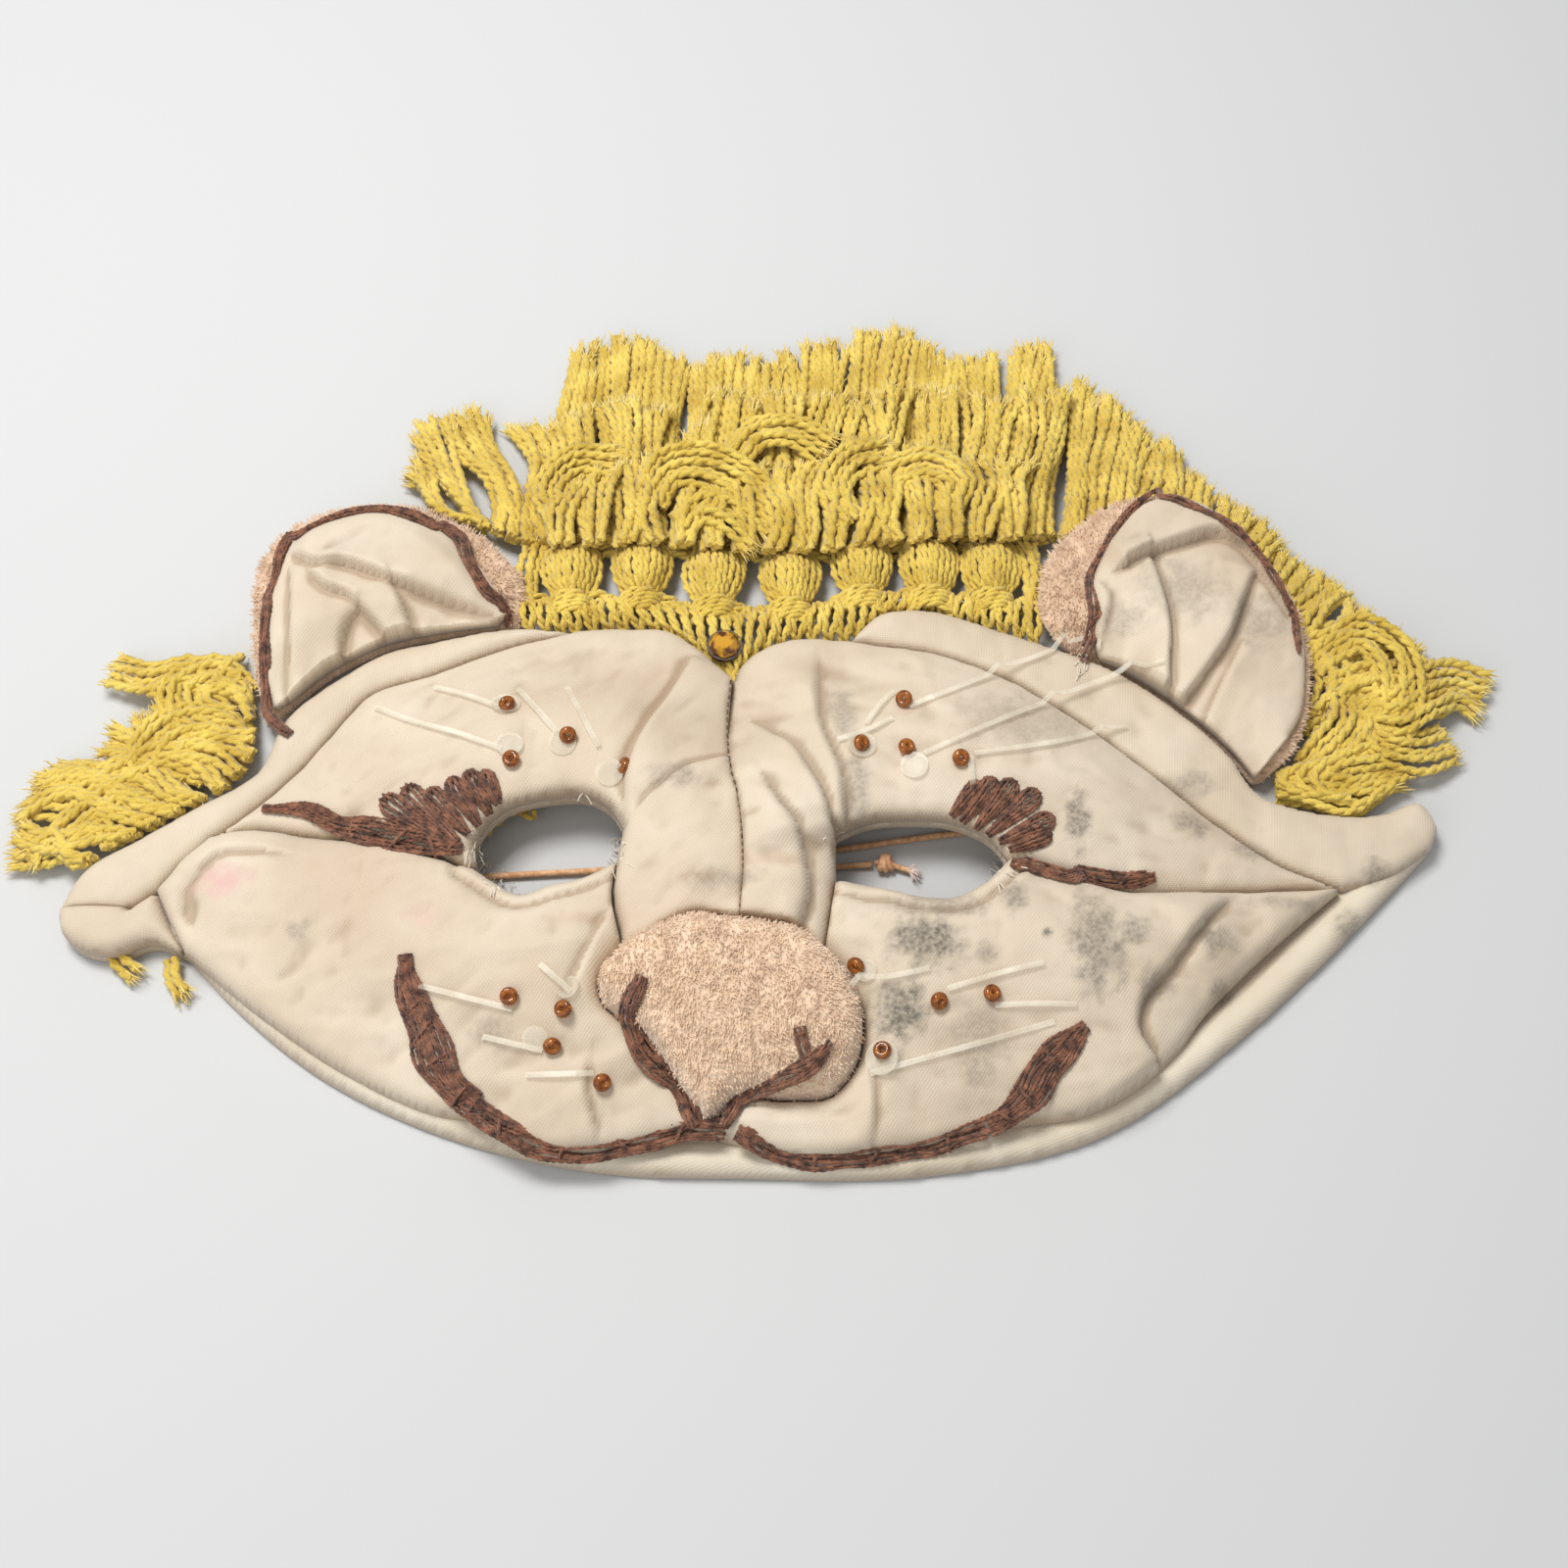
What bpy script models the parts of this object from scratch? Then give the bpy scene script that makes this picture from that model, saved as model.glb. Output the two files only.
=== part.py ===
"""Lion half mask: quilted cloth face, plush nose, folded ears and a knotted yarn mane.

The mask lies face up on a table, as a soft thing would by itself. Metres, +Z up,
+X across the mask and +Y from the chin to the mane. The tables below are in
millimetres in the mask's own plan, and place() moves them to the frame's origin,
the middle of the mask's footprint.
"""
import math

import bmesh
import bpy
from mathutils import Vector
from mathutils.bvhtree import BVHTree
from mathutils.geometry import delaunay_2d_cdt

# Driving dimensions in millimetres
MM = 0.001
PLAN_CENTRE_X = -7.07
PLAN_CENTRE_Y = 13.39
CROWN_RISE = 7.0        # hollow under the middle of the face
RIM_FLAT = 4.8          # width of the rim that lies flat on the table
RIM_SWEEP = 19.0        # how far in from the rim the hollow reaches its full height
BACKING_THICK = 1.9
SEAT = 0.6              # clearance between a pad and the backing under it
SEAM_GAP = 0.22         # each pad stops this short of its seam
PAD_EDGE = 1.5          # thickness of a pad at its seams
BROW_LOFT = 3.0
CHEEK_LOFT = 4.2
BAND_LOFT = 1.9
TAB_LOFT = 2.5
BRIDGE_RISE = 3.6
BRIDGE_HALF_WIDTH = 15.0
NOSE_EDGE = 5.0
NOSE_LOFT = 5.6
PLUSH_THICK = 2.2
EAR_CLOTH_THICK = 1.3
EAR_SEAT = 0.8          # clearance between the cloth front and the plush back
EAR_BASE_Z = 1.2
EAR_LIFT = 3.3
MANE_STRIP_HIGH = 4.0
BOBBLE_RISE = 3.0
ELASTIC_DIAMETER = 1.2
YARN_LINE_HIGH = 1.1
YARN_SEAT = 0.6
STONE_RADIUS = 2.85
STONE_HIGH = 1.5
STONE_RING_HIGH = 0.9
STONE_CLEAR = 0.3       # between the stone and its ring
PAD_ROLL = 9.0          # how far in from its seam a stuffed pad reaches its full height
GROOVE_DEEP = 0.5       # where two pads meet flush
GROOVE_WIDE = 2.0
FOLD_STEP = 0.8         # width in plan of the step at a fold
FOLD_FADE = 0.35        # share of a fold's length over which it dies away
EAR_LIFT_REACH = 9.0
EAR_DROOP = 2.2         # the left ear's tip sinks back towards the table
EAR_DROOP_FROM = 24.0
EAR_DROOP_REACH = 10.0
EAR_RIM_RISE = 0.6
SEAM_SPACING = 5.0      # between the points of a seam
SAME_POINT = 1e-6

# Each line is a seam or edge of the mask: points (x, y) along it, in millimetres
SEAMS = {
    "centre": ((-9, 18), (-9.5, 5), (-9, -4), (-7.5, -10.5), (-6.5, -22), (-7, -31)),
    "forehead_left": ((-9, 18), (-14.5, 24), (-20.5, 28), (-27.5, 28.5), (-36.5, 28)),
    "crown_left": ((-36.5, 28), (-49.5, 28.5), (-61, 26), (-69, 24), (-77, 19), (-86.5, 10), (-90, 0.5),
                   (-100, -6.5), (-109, -12.5), (-117, -18), (-120.5, -25)),
    "band_seam_left": ((-36.5, 28), (-48.5, 24.5), (-61.5, 19), (-72.5, 14.5), (-78, 7), (-83.5, -0.5),
                       (-91.5, -8.5), (-96.5, -12.5)),
    "band_tail_left": ((-96.5, -12.5), (-101, -17.5), (-104.5, -22)),
    "band_end_left": ((-104.5, -22), (-108.5, -25)),
    "tab_seam_left": ((-108.5, -25), (-120.5, -25)),
    "tab_edge_left": ((-120.5, -25), (-119.5, -29), (-116, -32), (-110, -33), (-104, -31), (-98.5, -33)),
    "cheek_top_left": ((-96.5, -12.5), (-92, -11.5), (-79, -13), (-62, -17), (-55, -19.5), (-50.5, -21)),
    "eye_top_left": ((-50.5, -21), (-51, -16), (-47.5, -10.5), (-39, -7.5), (-32.5, -7.5), (-29, -9.5),
                     (-26.5, -13.5)),
    "eye_low_left": ((-50.5, -21), (-47, -23.5), (-43, -25.5), (-38.5, -24), (-32.5, -22.5), (-27.5, -19.5)),
    "eye_side_left": ((-26.5, -13.5), (-27.5, -19.5)),
    "bridge_edge_left": ((-27.5, -19.5), (-28, -26), (-26, -35.5)),
    "nose_top_left": ((-26, -35.5), (-22.5, -33.5), (-15.5, -30.5), (-7, -31)),
    "nose_top_right": ((-7, -31), (-1.5, -32), (3, -33), (6.5, -36)),
    "nose_low_left": ((-26, -35.5), (-29.5, -41), (-29, -44), (-25.5, -47), (-21, -51), (-18, -55),
                      (-15.5, -58.5), (-12.5, -62.5)),
    "nose_low_right": ((6.5, -36), (10, -40), (12.5, -47.5), (11.5, -53.5), (7.5, -58), (0.5, -58.5),
                       (-6, -58.5), (-12.5, -62.5)),
    "chin_split": ((-12.5, -62.5), (-10, -64.5)),
    "mouth_left": ((-10, -64.5), (-16.5, -64.5), (-24.5, -66), (-35.5, -67), (-43.5, -65), (-48.5, -62),
                   (-55.5, -60.5), (-69, -54.5), (-85, -44), (-98.5, -33)),
    "cheek_side_left": ((-98.5, -33), (-102, -27), (-104.5, -22)),
    "forehead_right": ((-9, 18), (-7.5, 21), (-1.5, 25.5), (4.5, 26.5), (11.5, 26)),
    "crown_right": ((11.5, 26), (17, 31.5), (22.5, 32.5), (38.5, 28), (46.5, 25), (58, 20), (68.5, 12),
                    (76.5, 3.5), (81, -4), (89, -7), (101.5, -7.5), (108, -5.5), (110.5, -10), (109, -14)),
    "band_seam_right": ((11.5, 26), (28.5, 22.5), (38, 18.5), (48.5, 11), (61, 0.5), (73, -10),
                        (83, -17.5), (93, -21.5)),
    "band_end_right": ((93, -21.5), (101.5, -19), (109, -14)),
    "side_seam_right": ((93, -21.5), (78, -22.5), (64, -24), (56.5, -24.5), (46.5, -22), (37, -19)),
    "eye_top_right": ((37, -19), (35, -16), (27.5, -12), (21, -11.5), (14.5, -12), (8.5, -14.5)),
    "eye_low_right": ((37, -19), (32.5, -23.5), (27.5, -26), (23.5, -26), (16, -24.5), (8.5, -23)),
    "eye_side_right": ((8.5, -14.5), (8.5, -23)),
    "bridge_edge_right": ((8.5, -23), (7.5, -30), (6.5, -36)),
    "mouth_right": ((93, -21.5), (84.5, -28.5), (74, -38), (68.5, -43.5), (63.5, -50), (55.5, -57),
                    (48.5, -60.5), (35.5, -62.5), (23.5, -65.5), (13.5, -67), (3.5, -67.5), (-3, -66.5),
                    (-10, -64.5)),
    "chin_edge": ((-98.5, -33), (-90, -41.5), (-74.5, -53.5), (-57, -62), (-32.5, -68.5), (-6, -69.8),
                  (23.5, -69.3), (51, -63), (73.5, -47.5), (92.5, -30.5), (102, -21), (109, -14)),
}

# Each pad is bounded by seams in order.
# Columns: boundary, the seams of it that meet a neighbour flush, loft in mm, lattice cell in mm
PADS = {
    "face_left": (("centre", "forehead_left", "band_seam_left", "cheek_top_left", "eye_top_left",
                   "eye_side_left", "bridge_edge_left", "nose_top_left"),
                  ("centre", "nose_top_left"), BROW_LOFT, 6.6),
    "face_right": (("centre", "nose_top_right", "bridge_edge_right", "eye_side_right",
                    "eye_top_right", "side_seam_right", "band_seam_right", "forehead_right"),
                   ("centre", "nose_top_right"), BROW_LOFT, 6.6),
    "cheek_left": (("cheek_top_left", "eye_low_left", "bridge_edge_left", "nose_low_left", "chin_split",
                    "mouth_left", "cheek_side_left", "band_tail_left"),
                   ("bridge_edge_left", "chin_split"), CHEEK_LOFT, 7.2),
    "cheek_right": (("mouth_right", "side_seam_right", "eye_low_right", "bridge_edge_right",
                     "nose_low_right", "chin_split"),
                    ("bridge_edge_right", "chin_split"), CHEEK_LOFT, 7.2),
    "brow_band_left": (("crown_left", "tab_seam_left", "band_end_left", "band_tail_left",
                        "band_seam_left"),
                       ("tab_seam_left",), BAND_LOFT, 7.0),
    "brow_band_right": (("crown_right", "band_end_right", "band_seam_right"), (), BAND_LOFT, 7.0),
    "side_tab_left": (("tab_edge_left", "cheek_side_left", "band_end_left", "tab_seam_left"),
                      ("tab_seam_left",), TAB_LOFT, 6.0),
}

# Columns: pad, height of the raised side in mm, how far it reaches, points from its deep end.
# The raised side lies to the left of the line's direction
FOLDS = (
    ("face_left", 2.6, 13.0, ((-16.5, 19.5), (-20, 11.5), (-23, 5), (-25, 0), (-26.3, -6.5), (-26, -13.5))),
    ("face_right", 2.8, 12.0, ((8, -15), (6.5, -10), (4, -5), (1.5, -0.5), (-1.5, 3), (-4.5, 6.5))),
    ("face_left", 1.2, 9.0, ((-10, -2.5), (-16, -5), (-21, -9), (-25, -12.5))),
    ("face_right", 1.4, 9.0, ((2.5, -33), (4, -26.5), (3.5, -22.5), (2, -16.5), (-1.5, -11.5), (-4.5, -5))),
    ("cheek_right", 2.4, 14.0, ((59, -52), (56.5, -48), (57.5, -43), (61, -39), (66.5, -32), (71.5, -26.5),
                                (76, -23))),
    ("cheek_left", 1.2, 8.0, ((-27.5, -28.5), (-31.5, -37), (-34, -43), (-35.5, -48.5))),
    ("face_right", 1.4, 7.0, ((10, -12), (9.5, -5), (6.5, 4), (5.5, 22.5))),
    ("ear_left_front", 1.5, 9.0, ((-85.5, 39.5), (-83, 36), (-78.5, 34.5), (-68.5, 32), (-59, 30.5),
                                  (-50, 30))),
    ("ear_left_front", 1.3, 7.0, ((-82, 30), (-78.5, 30.5), (-75, 29.5), (-71.5, 25.5), (-69, 23.5))),
    ("ear_right_front", 1.5, 8.0, ((60, 35), (67, 38.5), (76, 41), (79.5, 39.5), (82, 35), (87, 27))),
    ("ear_right_front", 1.3, 8.0, ((66.5, 12.5), (65.5, 15), (66, 21.5), (65.5, 30), (64, 36))),
    ("ear_right_front", 1.2, 8.0, ((69, 12), (72.5, 15.5), (76.5, 21.5), (78.5, 28), (80.5, 33))),
)

# Each ear: plan outline of its plush back, of its cloth front, and the line that it is sewn in at
EARS = {
    "left": {
        "back": ((-89.8, 10), (-92, 18), (-93.5, 28.5), (-94, 36.5), (-92, 45), (-85, 51.5), (-76, 53.5),
                 (-67.5, 53), (-57, 48.5), (-50, 42.5), (-46, 36), (-46, 31.8)),
        "front": ((-88.3, 12), (-89.8, 18), (-91, 27), (-89.5, 36), (-87, 45), (-77, 51), (-68.5, 51),
                  (-62, 47), (-55.5, 41), (-50.5, 34), (-48.7, 31)),
        "base": ((-47, 29.6), (-61.5, 27.4), (-70, 25.2), (-78.5, 20.4), (-88, 11.4)),
    },
    "right": {
        "back": ((52.3, 23.5), (48.3, 25.8), (45.5, 30), (45.5, 37), (47.5, 43), (52, 48), (60, 53.5),
                 (69, 55), (78.5, 50), (88, 37), (91, 29.5), (91.5, 17), (89.5, 8), (86.5, 3), (82, -0.6)),
        "front": ((54.5, 24.5), (53.8, 29), (54.2, 35), (56.5, 41), (60, 46.5), (64.5, 51.5), (69, 53),
                  (78, 48), (86.5, 36), (89.8, 29), (90, 16.5), (88.2, 8.5), (86, 5)),
        "base": ((80.3, -1.1), (76.6, 4.5), (69, 12.5), (58.6, 20.4), (53, 23.2)),
    },
}

# Knotted strip: centres (x, y) of the openings and of the raised bobbles between them
MANE_HOLES = ((-44.4, 39), (-31, 39), (-19.5, 38.8), (-6, 37), (7.5, 39.6), (20, 40), (31.5, 40),
              (41.8, 39.6))
HOLE_HALF_SIZE = 1.6
MANE_BOBBLES = ((-38, 40), (-25.5, 40.5), (-12.5, 39), (1, 38.5), (14, 41), (26, 41), (37, 40.5))
BOBBLE_RADIUS = 5.0
MANE_TOP = ((-46, 46), (-30, 47), (-10, 46.5), (10, 47), (28, 47.5), (44, 47))
MANE_WING_LEFT = ((-56, 44), (-70, 41), (-81, 34.5), (-90, 26))
MANE_WING_RIGHT = ((56, 42), (70, 34), (84, 21), (94.5, 8.5))
WING_HALF_WIDTH = 3.4
WING_HIGH = 3.8

# Fringe tiers. Columns: locks, underside, thickness, root line, tip line
FRINGES = {
    "fringe_crown_outer": (26, 0.0, 4.2, ((-42, 46.6), (-10, 47.0), (20, 47.5), (46, 47.5)),
                           ((-41, 92), (-33, 97), (-22, 91.5), (0, 92.5), (22, 96), (34, 91), (49, 94.5))),
    "fringe_crown_middle": (22, 4.6, 3.6, ((-41, 46.6), (-10, 47.0), (20, 47.5), (42, 47.5)),
                            ((-40, 74), (-20, 79), (0, 78), (22, 80), (40, 78), (52, 77))),
    "fringe_crown_top": (18, 8.6, 3.2, ((-40, 46), (-10, 45), (20, 46), (41, 47)),
                         ((-38, 60), (-22, 62), (-4, 63), (16, 66), (32, 65), (47, 62))),
    "fringe_ear_left": (7, 0.0, 5.0, ((-58.5, 52.8), (-51, 48.2), (-46, 46.4), (-42.8, 46.7)),
                        ((-70, 62), (-65, 76.5), (-57, 79), (-49, 76), (-42.5, 73))),
    "fringe_left": (9, 0.0, 5.0, ((-95.5, 21), (-92.8, 12), (-91.2, 4), (-94.5, -1.8), (-101, -6),
                                  (-110, -11.8), (-118, -17)),
                    ((-98, 25), (-106, 20), (-119, 17), (-124, 6), (-133, -2), (-134, -10), (-124, -19))),
    "fringe_right": (20, 0.0, 3.9, ((46.8, 48.3), (60.2, 45.4), (75, 37.6), (89.2, 24.4), (100.2, 9.8)),
                     ((51.5, 88), (62, 77.5), (73, 67.5), (86, 52), (96, 41), (110, 27), (121, 13))),
}
LOCK_NOTCH = 0.14       # how far the gap between two locks cuts back along them
LOCK_VALLEY = 0.62      # thickness between two locks, as a share of a lock's own
LOCK_TAPER = 0.35       # share of its thickness that a lock loses by its tip
LOCK_SWAY = 1.3
LOCK_ROWS = 3

# Folded end of the strip: outline, and heights of its edge and of the rise inside it
MANE_END_RIGHT = ((83.5, -3.5), (90, -6.3), (101, -6.7), (108, -3), (107, 1), (98, 4.5), (90, 4), (84.5, 0))
MANE_END_EDGE = 3.0
MANE_END_RISE = 3.6
MANE_END_ROLL = 5.0

# Embroidered yarn lines. Columns: half width at the ends and middle, what they lie on, points
YARN_LINES = {
    "mouth_yarn_left": (1.3, 3.0, ("cheek_left", "backing"),
                        ((-62.5, -31), (-60, -38), (-57.5, -46), (-53, -54.5), (-46, -60.5))),
    "mouth_yarn_right": (1.2, 2.4, ("cheek_right", "backing"),
                         ((47.5, -42.5), (42, -49), (38.5, -55), (33, -59.5))),
    "brow_yarn_left": (0.8, 2.0, ("face_left", "cheek_left"),
                       ((-85, -6), (-74, -8), (-64, -12), (-55, -15.5))),
    "brow_yarn_right": (0.8, 1.4, ("face_right",), ((40, -17), (48, -19.5), (56, -20.5), (62, -19.5))),
    "nose_yarn_left": (0.7, 1.2, ("nose_pad",), ((-23.8, -39.5), (-24.2, -43), (-21.2, -46.5), (-18, -50))),
    "nose_yarn_right": (0.7, 1.2, ("nose_pad",), ((6.5, -48), (3, -52.5), (-2, -54.5))),
    "ear_yarn_left": (0.9, 1.1, ("ear_left_front",),
                      ((-88.6, 17), (-88.8, 27), (-87, 36), (-84.5, 43.5), (-77, 48.2), (-69, 48.4),
                       (-62.5, 44.5), (-56, 38.5), (-51.5, 33))),
    "ear_yarn_right": (0.9, 1.0, ("ear_right_front",),
                       ((55.8, 28), (56.3, 35), (58.8, 41.5), (63.5, 47.5), (69, 50.6), (76.5, 46.8))),
}
# Fans of lashes. Columns: what they lie on, points round the fan
LASH_FANS = {
    "lash_yarn_left": ("face_left", ((-53, -12.2), (-63, -4), (-58.5, -6), (-57.5, -2.5), (-54, -5),
                                     (-51.5, -1), (-49, -3), (-49, -9.5))),
    "lash_yarn_right": ("face_right", ((29, -10.5), (32, -2.5), (34.5, -5), (39, -2), (39, -6), (43, -4.5),
                                       (42, -9), (45, -10.5), (37, -14))),
}

# Elastic: points (x, y, z of its middle), from where it is sewn in under the right side,
# across both eyes, round under the left side and back under the nose to its knotted end
ELASTIC_ROUTE = ((65.5, -12.2, 0.75), (59.5, -11, 0.65), (52, -9.2, 0.65), (44, -8.6, 0.65),
                 (29, -9.8, 0.65), (8.5, -12.8, 0.65), (-12, -15.2, 0.65), (-31.5, -16.6, 0.65),
                 (-48, -17.6, 0.65), (-61, -18.8, 0.65), (-69.5, -20.2, 0.65), (-73.5, -23.8, 0.65),
                 (-71, -28, 0.65), (-62, -30, 0.65), (-46, -30.5, 0.65), (-31, -28.5, 0.65),
                 (-19, -22.5, 0.65), (-8, -18.6, 0.65), (4, -16.4, 0.65), (14.8, -15.5, 0.75))
KNOT_PLACE = (17.0, -15.4)
KNOT_RADIUS = 1.5

STONE_PLACE = (-10.4, 24.6)
STONE_SEAT_Z = 4.35

# Columns: red, green, blue, roughness
COLOURS = {
    "cloth": (0.80, 0.68, 0.52, 0.78),
    "plush": (0.74, 0.56, 0.41, 0.95),
    "yarn_gold": (0.66, 0.46, 0.08, 0.92),
    "yarn_brown": (0.20, 0.09, 0.05, 0.90),
    "elastic": (0.80, 0.46, 0.24, 0.60),
    "amber": (0.80, 0.42, 0.05, 0.08),
    "brass": (0.12, 0.07, 0.03, 0.40),
}


# Plan geometry: smooth lines, outlines and distances

def smooth_line(points, spacing=5.0, closed=False):
    """Points about `spacing` mm apart on a smooth curve through the given ones."""
    knots = [Vector(p) for p in points]
    count = len(knots)
    steps = range(count) if closed else range(count - 1)

    def tangent(i):
        before = knots[i - 1] if (closed or i > 0) else None
        after = knots[(i + 1) % count] if (closed or i < count - 1) else None
        if before is None:
            return (after - knots[i]).normalized()
        if after is None:
            return (knots[i] - before).normalized()
        in_run = knots[i] - before
        out_run = after - knots[i]
        mixed = in_run.normalized() * out_run.length + out_run.normalized() * in_run.length
        return mixed / (in_run.length + out_run.length)

    result = []
    for i in steps:
        start, end = knots[i], knots[(i + 1) % count]
        run = (end - start).length
        pieces = max(1, round(run / spacing))
        for k in range(pieces):
            t = k / pieces
            start_pull = tangent(i) * run * (t ** 3 - 2 * t ** 2 + t)
            end_pull = tangent((i + 1) % count) * run * (t ** 3 - t ** 2)
            result.append(start * (2 * t ** 3 - 3 * t ** 2 + 1) + end * (3 * t ** 2 - 2 * t ** 3)
                          + start_pull + end_pull)
    if not closed:
        result.append(knots[-1])
    return result


def seam(name, spacing=SEAM_SPACING):
    return smooth_line(SEAMS[name], spacing)


def boundary(names, spacing=SEAM_SPACING):
    """One closed outline from seams that follow each other, whichever way each of them runs."""
    lines = [seam(name, spacing) for name in names]
    first, second = lines[0], lines[1]
    if min((first[0] - second[0]).length, (first[0] - second[-1]).length) < SAME_POINT:
        lines[0] = first[::-1]
    outline = list(lines[0])
    for line in lines[1:]:
        if (line[0] - outline[-1]).length > SAME_POINT:
            line = line[::-1]
        outline.extend(line[1:])
    outline.pop()
    return outline if signed_area(outline) > 0 else outline[::-1]


def signed_area(loop):
    return 0.5 * sum(a.x * b.y - b.x * a.y for a, b in zip(loop, loop[1:] + loop[:1]))


def inside(x, y, loop):
    """Whether the point lies inside the closed loop."""
    hit = False
    for a, b in zip(loop, loop[1:] + loop[:1]):
        if (a.y > y) != (b.y > y) and x < a.x + (y - a.y) * (b.x - a.x) / (b.y - a.y):
            hit = not hit
    return hit


def nearest(x, y, line):
    """Distance to a line, the side that it is on (+1 is left), how far along, and past its end."""
    best = None
    travelled = 0.0
    for i in range(len(line) - 1):
        a, b = line[i], line[i + 1]
        run = b - a
        length = run.length
        raw = ((x - a.x) * run.x + (y - a.y) * run.y) / (length * length)
        t = min(1.0, max(0.0, raw))
        gap = math.hypot(x - a.x - run.x * t, y - a.y - run.y * t)
        if best is None or gap < best[0]:
            past = max(0.0, -raw * length) if i == 0 else 0.0
            if i == len(line) - 2:
                past = max(past, (raw - 1.0) * length)
            side = 1.0 if run.x * (y - a.y) - run.y * (x - a.x) > 0 else -1.0
            best = (gap, side, travelled + t * length, past)
        travelled += length
    return best[0], best[1], best[2] / travelled, best[3]


def distance(x, y, lines):
    return min((nearest(x, y, line)[0] for line in lines), default=math.inf)


def inset(loop, amount):
    """The closed loop moved inward by `amount`, with its corners kept sharp up to a limit."""
    moved = []
    for before, here, after in zip(loop[-1:] + loop[:-1], loop, loop[1:] + loop[:1]):
        in_side = (here - before).normalized().orthogonal()
        out_side = (after - here).normalized().orthogonal()
        middle = in_side + out_side
        scale = 2.0 / max(middle.length_squared, 0.8)
        moved.append(here + middle * amount * scale)
    return moved


def ease(t):
    """Smooth step from 0 to 1."""
    t = min(1.0, max(0.0, t))
    return t * t * (3.0 - 2.0 * t)


def roll(d, radius):
    """Round edge of a stuffed pad: 0 at its seam, 1 from `radius` inward."""
    t = 1.0 - min(1.0, max(0.0, d / radius))
    return math.sqrt(1.0 - t * t)


# Heights of the mask over the table

CHIN_SIDE = [seam("tab_edge_left") + seam("chin_edge")[1:]]
CROWN_SIDE = [seam("crown_left"), seam("forehead_left"), seam("forehead_right"), seam("crown_right")]


def hollow(x, y):
    """Underside of the backing: flat on the table round the rim, arched under the face."""
    low = distance(x, y, CHIN_SIDE)
    high = distance(x, y, CROWN_SIDE)
    reach = low * high / max(low + high, 1e-6)
    t = min(1.0, max(0.0, (reach - RIM_FLAT) / RIM_SWEEP))
    return CROWN_RISE * (2.0 * t * t if t < 0.5 else 1.0 - 2.0 * (1.0 - t) ** 2)


def ridge(x, y):
    """The nose bridge standing up along the centre seam, from the forehead to the nose."""
    across = (x + 8.5) / BRIDGE_HALF_WIDTH
    return BRIDGE_RISE * math.exp(-across * across) * ease((14.0 - y) / 26.0)


def fold_lines(pad):
    return [(rise, reach, smooth_line(points, 4.0)) for owner, rise, reach, points in FOLDS if owner == pad]


def fold_height(x, y, folds):
    """Height that the folds of one pad add: a step on each fold's line that dies away behind it."""
    total = 0.0
    for rise, reach, line in folds:
        gap, side, along, past = nearest(x, y, line)
        offset = gap * side
        step = ease(offset / FOLD_STEP + 0.5)
        behind = math.exp(-(max(offset, 0.0) / reach) ** 2)
        fade = 0.15 + 0.85 * ease((1.0 - along) / FOLD_FADE)
        total += rise * step * behind * fade * math.exp(-(past / 2.0) ** 2)
    return total


# Building the solids

def place(x, y, z):
    """Mask plan and height in millimetres to the frame in metres."""
    return Vector(((x - PLAN_CENTRE_X) * MM, (y - PLAN_CENTRE_Y) * MM, z * MM))


def material(colour):
    """One matt or glossy material for each colour in the table."""
    if colour in bpy.data.materials:
        return bpy.data.materials[colour]
    red, green, blue, roughness = COLOURS[colour]
    made = bpy.data.materials.new(colour)
    made.use_nodes = True
    shader = made.node_tree.nodes["Principled BSDF"]
    shader.inputs["Base Color"].default_value = (red, green, blue, 1.0)
    shader.inputs["Roughness"].default_value = roughness
    shader.inputs["Metallic"].default_value = 0.0
    return made


def new_object(name, bm, colour):
    """Put a finished bmesh into the mask's collection as one named object."""
    bmesh.ops.recalc_face_normals(bm, faces=bm.faces)
    mesh = bpy.data.meshes.new(name)
    bm.to_mesh(mesh)
    bm.free()
    mesh.materials.append(material(colour))
    made = bpy.data.objects.new(name, mesh)
    bpy.data.collections["lion_mask"].objects.link(made)
    return made


def thicken(bm, under, over):
    """Close a flat sheet into a body between its underside and its top."""
    plan = bm.verts[:]
    raised = bmesh.ops.extrude_face_region(bm, geom=bm.faces[:], use_keep_orig=True)
    for vert in raised["geom"]:
        if isinstance(vert, bmesh.types.BMVert):
            vert.co = place(vert.co.x, vert.co.y, over(vert.co.x, vert.co.y))
    for vert in plan:
        vert.co = place(vert.co.x, vert.co.y, under(vert.co.x, vert.co.y))


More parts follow.
